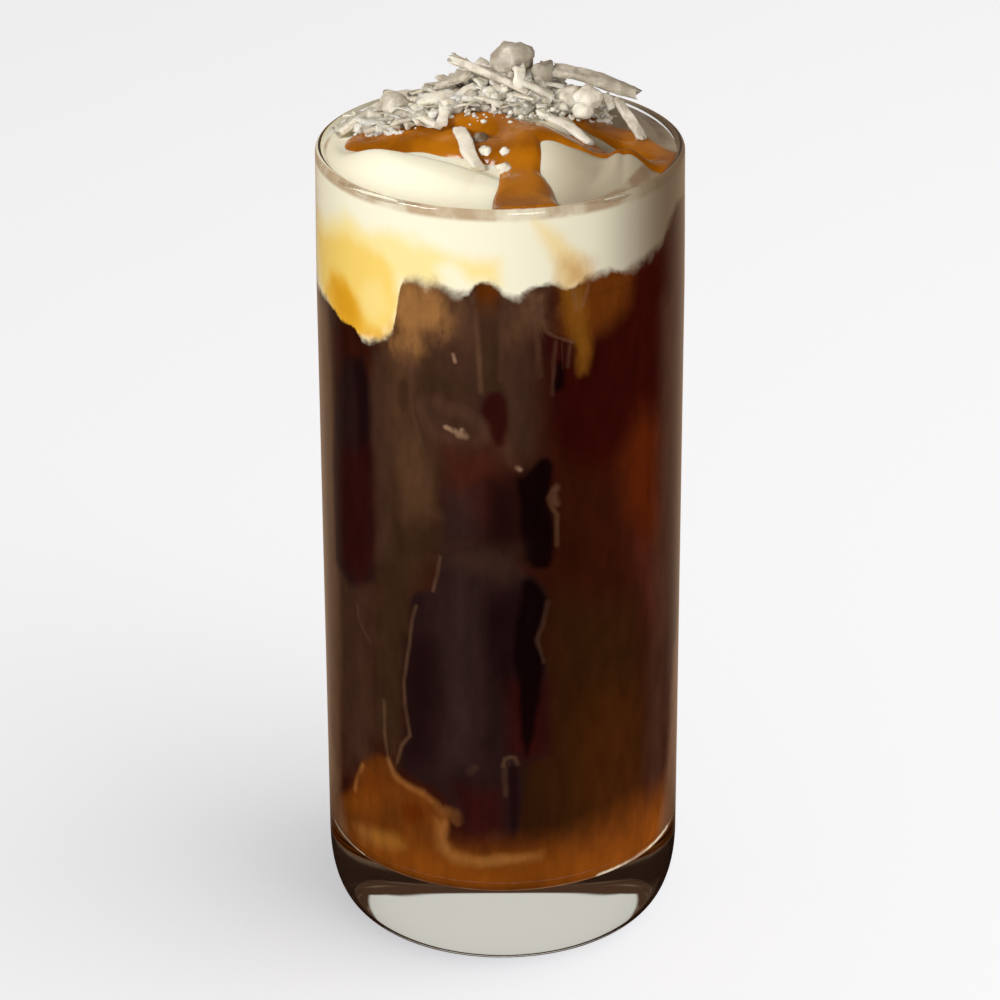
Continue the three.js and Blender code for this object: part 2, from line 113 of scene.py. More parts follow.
# Levels at the wall, with swells as (bearing, height, spread): bearing 0 faces the front and grows to the
# right. Swells start at a share of the radius where they reach their full height
SWELLS_REACH = BORE_RADIUS - 0.3
SWELLS_START = 0.2
CARAMEL_LEVEL = 24
CARAMEL_SWELLS = ((-52, 10, 15), (-38, 5, 24), (52, 5, 28), (140, 11, 18), (-140, 6, 24))
FOAM_UNDERSIDE = 137
FOAM_TONGUES = (
    (-66, -11.6, 32), (-43, -3.5, 9), (33, 0.4, 18), (82, 6.5, 18), (112, -7, 18), (138, -4, 11),
    (178, 2, 20),
)
FOAM_EDGE_LEVEL = 150.5
FOAM_EDGE_SWELLS = ((0, 0.7, 34), (180, 0.5, 40))
MOUND_PLACE = (1, 7)
MOUND_HEIGHT = 9
MOUND_REACH = 16

# Folds of the foam: a curve on plan by three points, then height, reach outside and reach inside
FOLDS = (
    ((-28.5, -5), (-18, -15), (-4, -20), 4.4, 8, 3.2),
    ((4.5, -7), (9, -12), (18, -16), 5, 8, 3),
    ((21.5, -14.2), (26, -14.5), (29, -12), 7, 6, 3),
    ((-19, 3.5), (-13, 1), (-7, 0.5), 1.8, 2.6, 3),
    ((10, -1.5), (14, -5), (18, -9.5), 2.4, 2, 2),
    ((27, 1), (27, 15), (12, 24), 2.6, 5, 4),
    ((14, 27), (-2, 26), (-13, 22), 3, 6, 4.5),
    ((-12, 26), (-25, 19), (-28, 7), 2.8, 6, 4),
)
FOLD_TURNOVER = 1.5
FOLD_END = 0.08
CALM_FROM = 0.74
CALM_SHARE = 0.88

# Drizzle ribbons: a curve on plan by three points, then the half width at its start, middle and end
DRIZZLES = (
    ((-24.4, 2), (-15.8, -1), (0, -10.5), (3.6, 2.6, 3.6)),
    ((-9, -1.5), (-3, -0.5), (8, -8.5), (2, 3.2, 3.4)),
    ((2.5, -7), (3.8, -19), (4.6, -31.5), (4, 3.7, 6.4)),
    ((3, -6), (15, -12.5), (28, -10), (3.4, 3.8, 3)),
    ((10, 5), (19, 4.5), (30, -6), (3.2, 3.8, 3.6)),
    ((-2, 12), (8, 19), (4, 30.5), (3, 2.2, 3.4)),
    ((2, 14), (-10, 21), (-24, 13), (2, 2.4, 1.8)),
)
CURVE_SAMPLES = 20
DRIZZLE_GRID = 250
DRIZZLE_MEETS = 2.5
DRIZZLE_SHOULDER = 1.1
DRIZZLE_TO_WALL = 0.34
DRIZZLE_DEPTH = 1.2

# Coconut shreds that show most: start, end, width and bow in millimetres, then how pale
# How pale is partly each piece's own tone and partly painted shade on the greyer pieces
SHREDS_THAT_SHOW = (
    ((-8.6, 3, 166.9), (8.9, 1.6, 159.2), 2.8, 0.3, 0.75),
    ((3.1, 1.4, 166.1), (3.9, 0.4, 162.6), 2.2, 0.1, 1),
    ((3.8, 0.6, 163.2), (9.4, 1.6, 160), 2.4, 0.2, 0.85),
    ((9.5, 8, 163), (24.2, 5, 159.4), 3.5, 0.4, 0.35),
    ((7.6, 7.2, 164.2), (8.4, 6.2, 160), 4.2, 0.1, 0.1),
    ((-4.6, 5.6, 163.3), (-11.2, 6.6, 160.3), 2.6, 0.2, 0.45),
    ((-14.4, 2.6, 159.2), (-4.8, 1.6, 160), 2.8, 0.4, 0.8),
    ((20.7, 4, 158.8), (25, -0.7, 153), 2, 0.4, 0.55),
    ((18.7, 4, 159.6), (19.9, 3, 157.3), 1.7, 0.2, 0.9),
    ((6.9, -0.6, 158.1), (15.9, -8.6, 155.2), 2.1, 0.5, 0.85),
    ((-7.2, -4.4, 156.2), (-4, -15.8, 153.4), 2.4, 0.6, 0.95),
    ((-17.1, 4.6, 156.8), (-11, -3.4, 156.6), 2.2, 0.3, 0.8),
    ((-10.1, 1.6, 159.4), (-9.9, -3.5, 157), 1.9, 0.2, 0.8),
    ((-20.8, 10, 157.2), (-16.4, 9, 157.6), 3.2, 0.2, 0.7),
    ((-29.2, 5.3, 152.3), (-20.8, 9, 155.9), 2.8, 0.3, 0.6),
)
# Lumps: place and radius in millimetres, then how pale
# How pale is partly each lump's own tone and partly painted shade on the greyer lumps
COCONUT_LUMPS = (
    ((2.2, 9, 164.8), 3.8, 0.35),
    ((12.1, 4, 159), 2.6, 0.7),
    ((15.5, 3, 159.4), 2.6, 0.75),
    ((14.7, 1, 157.7), 1.8, 0.8),
    ((-18.7, 7, 157), 2.6, 0.6),
    ((-22.7, 8, 154.3), 2.2, 0.6),
    ((0, 4, 159.7), 2.8, 0.7),
    ((-2.5, 2.5, 158), 2.2, 0.7),
    ((3.9, 2, 158.3), 2.4, 0.65),
    ((-3.3, -7.1, 155.3), 1.5, -0.3),
    ((-2.5, -11, 154.7), 1.2, 0.9),
    ((0.9, -12.6, 155.1), 1.1, 0.8),
    ((0.8, -16.8, 153.6), 1.3, 0.75),
)
HEAP_PLACE = (-3.5, 7.5)
HEAP_HALF_SIZE = (23, 8.5)
HEAP_THICKNESS = 2.8
CORE_LUMPS = 90


def linear(red, green, blue):
    """A colour given as 0 to 255 for a screen, as scene linear values."""
    def channel(value):
        share = value / 255
        return share / 12.92 if share <= 0.04045 else ((share + 0.055) / 1.055) ** 2.4

    return (channel(red), channel(green), channel(blue), 1)


# Colours of the coffee seen through the glass
COFFEE = linear(46, 17, 9)
INK = linear(14, 3, 4)
NIGHT = linear(26, 10, 11)
PLUM = linear(35, 20, 19)
PLUM_LIGHT = linear(47, 31, 29)
WINE = linear(46, 12, 9)
WINE_DEEP = linear(42, 7, 4)
BRICK = linear(66, 28, 18)
RUST = linear(72, 25, 5)
RUSSET = linear(84, 34, 5)
EARTH = linear(45, 15, 5)
BARK = linear(44, 23, 7)
HICKORY = linear(56, 26, 6)
SADDLE = linear(88, 43, 9)
OCHRE = linear(112, 68, 18)
UMBER = linear(56, 37, 23)
COCOA = linear(64, 42, 31)
MOCHA = linear(92, 62, 42)
TAN = linear(158, 110, 62)
CINNAMON = linear(88, 60, 45)
FAWN = linear(112, 80, 58)
HONEY = linear(148, 94, 46)
PALE = linear(168, 132, 104)
AMBER = linear(113, 58, 13)
AMBER_DARK = linear(92, 46, 12)
AMBER_PALE = linear(132, 84, 38)
AMBER_GLOW = linear(152, 98, 20)
# Painted light: the drink's underside, seen through the base, is painted a lit grey-brown with pale streaks
UNDERSIDE_PAINTED_LIGHT = linear(84, 62, 48)
UNDERSIDE_PAINTED_STREAKS = linear(164, 140, 118)

# Colours of the foam
CREAM = linear(247, 242, 218)
# Painted shade for the foam's top towards the right
FOAM_SHADED = linear(162, 150, 128)
# Painted shade: the foam at the glass darkens towards the right
FOAM_WALL_PAINTED_SHADE = linear(122, 100, 76)
FOAM_RIM = linear(176, 146, 112)
# Painted shade: the ring at the foam's rim is darker towards the right
FOAM_RIM_PAINTED_SHADE = linear(132, 104, 78)
CREAM_YELLOW = linear(249, 226, 150)
CREAM_AMBER = linear(245, 208, 104)
CREAM_GOLD = linear(232, 172, 40)
CREAM_DEEP = linear(214, 146, 18)
CREAM_BROWN = linear(196, 132, 60)

# Colours of the sauce and the coconut
SAUCE = linear(176, 106, 11)
SAUCE_DARK = linear(138, 77, 5)
COCONUT_BROWN = linear(108, 88, 66)
COCONUT_GREY = linear(172, 163, 146)
COCONUT_PALE = linear(238, 231, 215)

# Where tones change, in metres: to the right of the axis, up from the table, or out from the axis
# Painted light: the coffee's colours are scaled brighter towards the right and towards the bottom
PAINTED_LIGHT_TO_THE_RIGHT = (0.006, 0.029)
PAINTED_LIGHT_DOWNWARDS = (0.065, 0.028)
# Painted light: below these heights the drink's underside is painted lighter, with pale streaks
UNDERSIDE_PAINTED_BELOW = (0.01645, 0.0162)
# Painted shade: where the foam at the glass darkens towards the right
WALL_SHADE_TO_THE_RIGHT = (0.014, 0.029)
# Heights of a browner band at the top of the foam where it meets the glass
RIM_BAND_ABOVE = (0.1493, 0.1503)
# Painted shade: where the foam's top turns browner towards the right
SHADED_SIDE = (0, 0.015)
# Painted shade: the foam's rim ring grows darker and wider towards the right
RIM_SHADE_TO_THE_RIGHT = (0.004, 0.026)
RIM_SHADE_WIDER = 0.0024
# Reach of a browner ring on the foam's top where it meets the glass
RIM_BAND_REACH = ((BORE_RADIUS - 0.75) * MM, (BORE_RADIUS - 0.1) * MM)

# Noise that makes painted edges wavy, as waves to the metre, and how soft outlines and lines are
BROAD_WAVES = 130
FINE_WAVES = 620
EDGE_BLUR = 1.5
LINE_REACH = 1.7
LINE_LIMIT = (1.9, 1.5)
LINE_FAINT = 0.2
LINE_CLEAR = 0.85

COFFEE_GROUP = "Coffee colour"
SHINE = "Specular IOR Level"


def smooth(low, high, value):
    """A smooth rise from 0 to 1 between two limits."""
    share = np.clip((value - low) / (high - low), 0, 1)
    return share * share * (3 - 2 * share)


def bearing_of(x, y):
    return np.degrees(np.arctan2(x, -y))


def swells_at(bearing, swells):
    """The sum of smooth bumps with broad tops that wrap round the glass."""
    total = np.zeros_like(bearing)
    for centre, height, spread in swells:
        away = (bearing - centre + 180) % 360 - 180
        total = total + height * np.exp(-((away / spread) ** 4))
    return total


def wavy_level(x, y, level, swells):
    outwards = smooth(SWELLS_START * SWELLS_REACH, SWELLS_REACH, np.hypot(x, y))
    return level + outwards * swells_at(bearing_of(x, y), swells)


def curve_points(start, bend, end):
    """Points of a quadratic curve on plan."""
    share = np.linspace(0, 1, CURVE_SAMPLES)[:, None]
    start, bend, end = (np.array(point, float) for point in (start, bend, end))
    return (1 - share) ** 2 * start + 2 * share * (1 - share) * bend + share**2 * end


def nearest_on(line, x, y):
    """Distance to a line of points, share of the way along it, and how far out its nearest point lies."""
    best = np.full(x.shape, FAR_AWAY)
    along = np.zeros_like(x)
    out = np.zeros_like(x)
    for index in range(1, len(line)):
        start, step = line[index - 1], line[index] - line[index - 1]
        share = ((x - start[0]) * step[0] + (y - start[1]) * step[1]) / (step @ step)
        share = np.clip(share, 0, 1)
        near_x, near_y = start[0] + share * step[0], start[1] + share * step[1]
        away = np.hypot(x - near_x, y - near_y)
        closer = away < best
        best = np.where(closer, away, best)
        along = np.where(closer, (index - 1 + share) / (len(line) - 1), along)
        out = np.where(closer, np.hypot(near_x, near_y), out)
    return best, along, out


def foam_top(x, y):
    """Height of the top of the foam, in millimetres, for arrays of places."""
    reach = np.hypot(x - MOUND_PLACE[0], y - MOUND_PLACE[1])
    mound = MOUND_HEIGHT * np.exp(-((reach / MOUND_REACH) ** 2))
    folds = np.zeros_like(x)
    for start, bend, end, height, outside, inside in FOLDS:
        away, along, ridge_out = nearest_on(curve_points(start, bend, end), x, y)
        outwards = smooth(-FOLD_TURNOVER, FOLD_TURNOVER, np.hypot(x, y) - ridge_out)
        width = inside + (outside - inside) * outwards
        taper = np.sqrt(np.sin(np.pi * (FOLD_END + (1 - 2 * FOLD_END) * along)))
        folds += height * taper * np.exp(-((away / width) ** 2))
    calm = CALM_SHARE * smooth(CALM_FROM * SWELLS_REACH, SWELLS_REACH, np.hypot(x, y))
    return wavy_level(x, y, FOAM_EDGE_LEVEL, FOAM_EDGE_SWELLS) + mound + folds * (1 - calm)


def foam_underside(x, y):
    return wavy_level(x, y, FOAM_UNDERSIDE, FOAM_TONGUES)


def caramel_top(x, y):
    return wavy_level(x, y, CARAMEL_LEVEL, CARAMEL_SWELLS)


def glass_floor(x, y):
    """Height just inside the floor of the glass, with its rounded corner."""
    past = np.clip(np.hypot(x, y) - (BORE_RADIUS - INSIDE_CORNER_RADIUS), 0, INSIDE_CORNER_RADIUS)
    return BASE_THICKNESS - SEAT + INSIDE_CORNER_RADIUS - np.sqrt(INSIDE_CORNER_RADIUS**2 - past**2)


def finished(name, bm, material, nodes=(), crisp=None):
    """A smooth-shaded object that rides on the drink, with edges sharper than crisp degrees kept crisp."""
    bmesh.ops.recalc_face_normals(bm, faces=bm.faces)
    mesh = bpy.data.meshes.new(name)
    bm.to_mesh(mesh)
    bm.free()
    mesh.shade_smooth()
    if crisp:
        mesh.set_sharp_from_angle(angle=math.radians(crisp))
    mesh.materials.append(material)
    piece = bpy.data.objects.new(name, mesh)
    bpy.context.scene.collection.objects.link(piece)
    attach(piece, "root")
    if nodes:
        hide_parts(*nodes)
    return piece


def spun(profile, steps):
    """A profile of (radius, height) in millimetres spun round the axis into a closed bmesh."""
    bm = bmesh.new()
    verts = [bm.verts.new((radius * MM, 0, height * MM)) for radius, height in profile]
    edges = [bm.edges.new(pair) for pair in zip(verts, verts[1:])]
    bmesh.ops.spin(
        bm, geom=verts + edges, cent=(0, 0, 0), axis=(0, 0, 1), angle=2 * math.pi, steps=steps, use_merge=True
    )
    bmesh.ops.remove_doubles(bm, verts=bm.verts, dist=MERGE_DISTANCE)
    return bm


def coordinates(bm):
    """The x, y and z of a bmesh's points as three arrays, in millimetres."""
    return np.array([vert.co[:] for vert in bm.verts]).T / MM


def arc(centre_x, centre_z, radius, start, end, steps):
    """Points along an arc, angles in degrees."""
    turns = np.radians(np.linspace(start, end, steps + 1))
    return [(centre_x + radius * math.cos(turn), centre_z + radius * math.sin(turn)) for turn in turns]


def layer(radius, low, high, rings=12, side_steps=24, steps=360):
    """A round body between two height functions, fine at its side and near its lower corner."""
    flat = radius - INSIDE_CORNER_RADIUS
    turns = np.radians(np.linspace(0, 90, CORNER_STEPS + 1)[1:])
    radii = [*np.linspace(0, flat, rings + 1), *(flat + INSIDE_CORNER_RADIUS * np.sin(turns))]
    profile = [(reach, 1) for reach in radii]
    profile += [(radius, 1 - step / side_steps) for step in range(1, side_steps + 1)]
    profile += [(reach, 0) for reach in radii[-2::-1]]
    bm = spun(profile, steps)
    x, y, share = coordinates(bm)
    for vert, height in zip(bm.verts, low(x, y) + share * (high(x, y) - low(x, y))):
        vert.co.z = height * MM
    return bm


def set_inputs(tree, made, inputs):
    """Gives inputs of a node their values, or links them to other nodes' sockets."""
    for key, value in inputs.items():
        if isinstance(value, bpy.types.NodeSocket):
            tree.links.new(value, made.inputs[key])
        else:
            made.inputs[key].default_value = value


def node(tree, kind, inputs=None, **settings):
    """A new shader node with its settings and inputs."""
    made = tree.nodes.new(kind)
    for key, value in settings.items():
        setattr(made, key, value)
    set_inputs(tree, made, inputs or {})
    return made


def place_in(tree):
    """The socket of a point's place on its piece, in metres."""
    return node(tree, "ShaderNodeTexCoord").outputs["Object"]


def stretched(tree, vector, scale):
    """The socket of a vector with its three parts scaled."""
    return node(tree, "ShaderNodeMapping", {"Vector": vector, "Scale": scale}).outputs[0]


def parts_of(tree, vector):
    """The sockets of a vector's three parts."""
    return node(tree, "ShaderNodeSeparateXYZ", {0: vector}).outputs


def stored_value(tree, name, output="Fac"):
    """The socket of a value kept on the piece's points."""
    return node(tree, "ShaderNodeAttribute", attribute_name=name).outputs[output]


def calc(tree, operation, *values):
    """The result socket of a Math node."""
    return node(tree, "ShaderNodeMath", dict(enumerate(values)), operation=operation).outputs[0]


def mixed(tree, factor, first, second):
    """The result socket of a colour mix."""
    return node(tree, "ShaderNodeMix", {0: factor, 6: first, 7: second}, data_type="RGBA").outputs[2]


def ramped(tree, value, low, high, to_low=0, to_high=1, smoothly=True):
    """The result socket of a Map Range node."""
    kind = "SMOOTHSTEP" if smoothly else "LINEAR"
    inputs = {0: value, 1: low, 2: high, 3: to_low, 4: to_high}
    return node(tree, "ShaderNodeMapRange", inputs, interpolation_type=kind).outputs[0]


def cloud(tree, vector, scale, detail=3, roughness=0.5):
    """The value socket of a noise texture."""
    inputs = {"Vector": vector, "Scale": scale, "Detail": detail, "Roughness": roughness}
    return node(tree, "ShaderNodeTexNoise", inputs).outputs[0]


# Outlines on the wall: colour, softness and waviness in millimetres, strength, corners (bearing, height)
COFFEE_SHAPES = (
    # broad tones
    (COCOA, 3, 1.5, 0.9, (
        (-33.6, 135.1), (-9.5, 137), (13.8, 136.8), (14.8, 115.9), (13.8, 105.4), (-0.5, 103),
        (-23.2, 99.9), (-30.7, 110.7),
    )),
    (WINE_DEEP, 3, 2, 1, (
        (12.2, 130.3), (32.5, 127.5), (48.7, 140.1), (65, 136.1), (67, 99.7), (49.7, 107.4), (36.8, 98),
        (18.7, 102.1), (13.8, 108.3),
    )),
    (SADDLE, 2, 1.5, 0.9, (
        (18.6, 137.4), (32.3, 138.8), (45.1, 137.4), (43.5, 130.6), (34.3, 127.6), (22.6, 125.8),
        (18.6, 130.8),
    )),
    (RUST, 3, 1.5, 0.9, ((52.1, 109.9), (64, 102.5), (65, 82.2), (53, 81.9), (41.8, 91.2), (40.8, 101.2))),
    (EARTH, 3, 1.5, 0.8, (
        (16.4, 105.2), (32.8, 100.5), (43.3, 84.9), (44.9, 72.5), (18.9, 74.4), (15.5, 84.7),
    )),
    (BRICK, 2.5, 1.5, 0.8, ((48.4, 83.9), (64, 80.5), (69, 62.5), (59.7, 61), (50.8, 71.3))),
    (BARK, 3.5, 1.5, 0.9, (
        (13.9, 77.8), (50.8, 71.3), (54.1, 49.8), (52, 29.2), (33.9, 24.6), (13.9, 25.1), (8.9, 36),
        (13.9, 56.5),
    )),
    (HICKORY, 3, 1.5, 0.7, ((24.2, 57.5), (51.3, 54.7), (52, 29.2), (33.9, 26.7), (22.6, 34.8))),
    (BRICK, 2.5, 1.5, 0.8, (
        (-21.6, 107.8), (-0.4, 108.8), (2.1, 102.9), (-0.5, 97.1), (-10.1, 88), (-19.8, 96.3),
    )),
    (PLUM_LIGHT, 2.5, 1.5, 0.8, ((-19.8, 98.6), (-7.4, 99), (-6.3, 88.2), (-20, 86))),
    (UMBER, 2, 1.2, 0.9, (
        (-41.9, 124.5), (-33.2, 124.7), (-22.3, 107.7), (-19.7, 102.1), (-21.1, 84.3), (-30.1, 76),
        (-33.4, 56.4), (-35.8, 41.4), (-48, 45.2), (-44.9, 72.7), (-42.1, 97.3), (-44.8, 116.3),
    )),
    (MOCHA, 2.5, 2, 0.55, (
        (-39, 125.9), (-28.7, 128.1), (-26.8, 120.7), (-31.8, 110.5), (-22.4, 103.8), (-23.3, 94),
        (-32.3, 90.9), (-37.7, 103.9),
    )),
    (COCOA, 2, 1.2, 0.8, (
        (-68, 75.1), (-44.6, 80.5), (-46.2, 64.3), (-48.3, 38.8), (-65, 32.4), (-69, 54.7),
    )),
    (MOCHA, 1.2, 0.6, 0.8, (
        (-84, 123.5), (-70, 125.8), (-66, 96.2), (-66, 59.5), (-68, 29.5), (-78, 17.7), (-87, 40.7),
        (-83, 83.9),
    )),
    (COCOA, 2.5, 0.8, 0.6, (
        (62, 128.1), (69, 126.7), (68, 87.5), (66, 59.2), (67, 25.2), (58.2, 21.1), (57.1, 49.1),
        (60, 89.3),
    )),
    # the smudges under the foam
    (TAN, 2.6, 4, 0.85, (
        (-36, 132.9), (-32.1, 137.1), (-22.3, 137.2), (-19.1, 134.6), (-17.2, 130.6), (-22.5, 127.8),
        (-28.8, 124.3), (-34.7, 124.5),
    )),
    (MOCHA, 2.4, 4, 0.85, ((-19, 137.4), (-8.9, 137), (-8.3, 129.6), (-12.2, 126.6), (-17.6, 129.1))),
    (MOCHA, 2.4, 4, 0.85, ((-0.2, 136.8), (12.2, 137.6), (13.8, 130.8), (5.9, 126.8), (0.6, 127.8))),
    (TAN, 1.6, 4, 0.7, ((-23.1, 134.7), (-19.1, 134.6), (-16.9, 131.4), (-18.9, 129), (-22.5, 130.2))),
    (OCHRE, 1, 1.2, 0.95, (
        (18.6, 137.9), (25.3, 137.4), (27.4, 130), (29.2, 123.7), (27.9, 119.7), (25.4, 120), (24, 124.7),
        (21.3, 130.2),
    )),
    (UMBER, 1, 0.8, 0.8, (
        (-6.5, 131.1), (-0.3, 131.2), (0, 124), (0.6, 117.4), (-3.5, 117.9), (-5.7, 117.3),
    )),
    (UMBER, 0.7, 0.6, 0.8, (
        (-17.4, 118.7), (-14.5, 121.7), (-12.9, 120.3), (-10.7, 118.5), (-11.7, 116.2), (-16.2, 115.9),
    )),
    (UMBER, 0.6, 0.5, 0.9, (
        (-34.6, 117.1), (-31.9, 118.6), (-29.4, 117.4), (-29.8, 113.9), (-32.5, 112), (-34.3, 113.7),
    )),
    (UMBER, 0.8, 0.6, 0.8, (
        (-26.1, 122.7), (-20.6, 124.2), (-19.4, 118.6), (-22.1, 115.1), (-26.9, 115.9),
    )),
    # ice and the dark between it
    (PLUM, 0.8, 0.5, 0.95, (
        (-60, 117.6), (-48.8, 119.9), (-46.6, 116), (-45.6, 108.4), (-45.4, 92.7), (-45.6, 76.7),
        (-58.4, 72.6), (-68, 75.5), (-69, 95.6), (-67, 104), (-63, 111.8),
    )),
    (NIGHT, 0.7, 0.4, 0.9, (
        (-54.4, 119), (-48.8, 119.9), (-46.6, 116), (-45.6, 108.4), (-46, 100.1), (-48.5, 96.1),
        (-51.8, 99), (-52.2, 111.1),
    )),
    (WINE, 2, 1, 0.8, ((-67, 98.5), (-45.4, 103), (-45.5, 80.7), (-51.6, 74.4), (-65, 76.4))),
    (COCOA, 1, 0.6, 0.8, (
        (-43.7, 122.3), (-38.7, 121.9), (-37.7, 103.9), (-37.7, 82.1), (-44.5, 80.9), (-44.5, 102.8),
        (-45.8, 114.2),
    )),
    (WINE, 0.5, 0.4, 0.95, (
        (-6, 116), (-3.8, 117.7), (-0.7, 118), (1.8, 116.2), (2.1, 111.6), (0.5, 107.6), (-1.4, 107.4),
        (-3.2, 109.5), (-5.4, 111.8), (-6.6, 113.9),
    )),
    (NIGHT, 2.5, 1, 0.9, ((-4.9, 101), (5.8, 101.9), (7.4, 85.1), (-0.6, 82.3), (-5, 88.2))),
    (INK, 0.5, 0.45, 0.97, (
        (4.9, 101.1), (7.1, 101.3), (9.6, 102.7), (12.2, 104.5), (14.8, 104.8), (16.4, 103.3),
        (16.1, 100.8), (14.8, 98.1), (14.5, 96), (16.1, 93.5), (16.8, 90.5), (16.5, 84.6), (14.8, 83.1),
        (10.6, 83.4), (7.1, 85.1), (6.1, 91.1), (5.8, 97),
    )),
    (INK, 0.4, 0.4, 0.95, (
        (17.3, 122.4), (19.3, 123.2), (20.3, 120.5), (19.7, 117.9), (17.4, 117.1), (16.4, 118.5),
        (17.4, 120.3),
    )),
    (PLUM, 0.45, 0.5, 0.97, (
        (-20, 85.2), (-15, 87), (-6.9, 87.8), (-0.6, 86.9), (3.9, 85.2), (6.4, 82.4), (10.6, 81.4),
        (14.2, 78.8), (15.2, 76.3), (13.2, 72.4), (11.2, 68.9), (13.5, 64.7), (15.2, 58.5), (15.2, 45),
        (10.6, 43.9), (7.6, 38.2), (5.6, 29.8), (-2.6, 27.4), (-12.5, 29.5), (-18.9, 35.3), (-22.4, 37.5),
        (-31.9, 38.9), (-35.8, 41), (-34.1, 44.6), (-31.7, 47.3), (-33.8, 54.3), (-33.7, 58.4),
        (-31.5, 66.9), (-30.2, 75.2), (-28.7, 76.6), (-22.9, 77.7), (-21.5, 80.3),
    )),
    (PLUM_LIGHT, 2.5, 1.5, 0.9, (
        (-18.4, 82.5), (-6.9, 85.2), (-6.5, 69.2), (-10.7, 44.4), (-17.4, 41.8), (-18.5, 60.3),
        (-20.3, 72.3),
    )),
    (NIGHT, 2, 1, 0.9, (
        (-31.9, 66.9), (-23.1, 68), (-22.7, 55.8), (-26.2, 43.9), (-32.6, 40.9), (-33.4, 54.3),
    )),
    (NIGHT, 2, 1, 0.9, ((-5.1, 77.3), (5.8, 79.2), (5.7, 56.9), (0.8, 57), (-4.6, 65.2))),
    (COCOA, 2, 1, 0.6, ((-18.3, 86.9), (5.8, 87.6), (6.4, 82.8), (1, 81.3), (-18.4, 84.1))),
    (WINE, 1.5, 1, 0.9, ((1.8, 61.1), (15.2, 60.5), (15.2, 45), (8.9, 44), (2.4, 46.7))),
    (INK, 0.5, 0.4, 0.97, (
        (6.4, 80.8), (9, 81.5), (12.2, 79.7), (14.5, 77.2), (13.9, 74.4), (11.6, 69.9), (11.6, 67.9),
        (13.2, 64.3), (12.2, 56.6), (10.2, 49.5), (7.9, 45.3), (6, 49.7), (5.4, 59), (3.1, 66.2),
        (5.4, 74.2),
    )),
    (WINE, 2, 1, 0.85, ((-15.4, 38.8), (-0.9, 38.4), (0.7, 29.9), (-7.6, 26.6), (-14.9, 29.4))),
    (BARK, 1.2, 0.8, 0.9, ((6.9, 43.4), (13.9, 43.7), (14.9, 35.6), (12.2, 27.4), (6.2, 28.7))),
    (NIGHT, 0.45, 0.3, 0.95, (
        (1.7, 43.2), (4.7, 43.5), (5.6, 38.3), (5.3, 33), (3.9, 26.1), (3, 27.4), (2, 33.7), (1.4, 38.8),
    )),
    # the notch in the foam
    (SADDLE, 0.6, 0.4, 0.95, (
        (-7.9, 137.6), (-6.7, 138.6), (-2.4, 138.7), (-0.8, 137.6), (-0.5, 134.2), (-2.1, 131.9),
        (-7.1, 131.9), (-8, 134.5),
    )),
    (COCOA, 1.5, 0.6, 0.8, ((-7.7, 134.7), (-0.9, 134.8), (-0.6, 129.7), (-7.1, 129.6))),
    (WINE, 0.5, 0.5, 0.9, (
        (13.5, 128.7), (17.7, 127.7), (23, 126.3), (24.3, 124.3), (22, 122.6), (17.3, 123.8), (14.1, 125.5),
    )),
    # caramel at the bottom
    (AMBER_DARK, 3, 1.5, 0.97, (
        (-24.8, 25.8), (-10.9, 25.8), (-1, 26.5), (12.2, 27.4), (26.2, 27.1), (42.3, 28.9), (57.9, 28.3),
        (72, 28.3), (74, -0.4), (-79, -1.8), (-81, 17.6), (-65, 25.8),
    )),
    (AMBER_DARK, 0.9, 1, 0.97, (
        (-74, 24.5), (-60, 29), (-56.7, 33.4), (-53.6, 36.5), (-49.3, 39), (-44.4, 40.3), (-40.9, 39.2),
        (-37.6, 37.3), (-32, 36.6), (-26.7, 36.1), (-22.8, 34.7), (-20.4, 32.7), (-17.6, 31.7), (-19, 28.6),
        (-18.4, 25.2), (-17.9, 13), (-82, -2.6), (-81, 17.6),
    )),
    (AMBER, 2.6, 1.2, 0.97, (
        (-75, 18.1), (-45.1, 22.9), (-28.5, 24.4), (-19.1, 23.9), (-7.6, 23), (12.2, 24), (30, 22.7),
        (52.3, 21.6), (68, 24.6), (70, 1.1), (-78, -1.2),
    )),
    (AMBER, 1.5, 1, 0.6, (
        (-72, 24.3), (-55.1, 30.8), (-48.5, 35.4), (-39.3, 34.4), (-44.9, 28.6), (-62, 23.6),
    )),
    (RUSSET, 0.7, 0.6, 0.9, (
        (-34.9, 31.8), (-30.9, 33.2), (-26.8, 32.7), (-26.9, 30.6), (-31.4, 28.8), (-34.6, 29.6),
    )),
    (RUSSET, 1.5, 1, 0.6, ((-51.6, 34.2), (-45.5, 36.1), (-44.7, 33.3), (-50.7, 31.1))),
    (AMBER_PALE, 1.2, 0.8, 0.7, (
        (-61, 22), (-49, 24.2), (-38.4, 24.8), (-34.7, 23.3), (-42.9, 21.3), (-54.5, 20.6),
    )),
    (AMBER_GLOW, 1.2, 1, 0.3, (
        (-49, 23.3), (-41.4, 24.6), (-36.3, 24.3), (-35.6, 22.8), (-41.5, 21.8), (-48.1, 21.8),
    )),
    (AMBER_PALE, 1, 0.8, 0.8, (
        (-22.5, 31.1), (-19, 30.3), (-19.8, 26.8), (-17, 24.5), (-7.6, 23.8), (2.3, 24.4), (12.2, 24.6),
        (12.2, 23.5), (2.3, 23.1), (-7, 22.2), (-16, 22.4), (-21.9, 24.4),
    )),
    # Painted highlight: paler tones rising at the drink's lower corners on both sides
    (FAWN, 1.6, 1, 0.75, ((-86, 38), (-74, 33), (-66, 22), (-62, 14), (-86, 14))),
    (FAWN, 1.6, 1, 0.7, ((86, 60), (77, 54), (72, 34), (67, 22), (64, 15), (86, 15))),
    (AMBER_PALE, 0.7, 0.5, 0.85, (
        (-8.3, 23.8), (0.6, 24.6), (8.9, 24.4), (8.2, 23.1), (0.6, 22.7), (-7.6, 22.1),
    )),
)

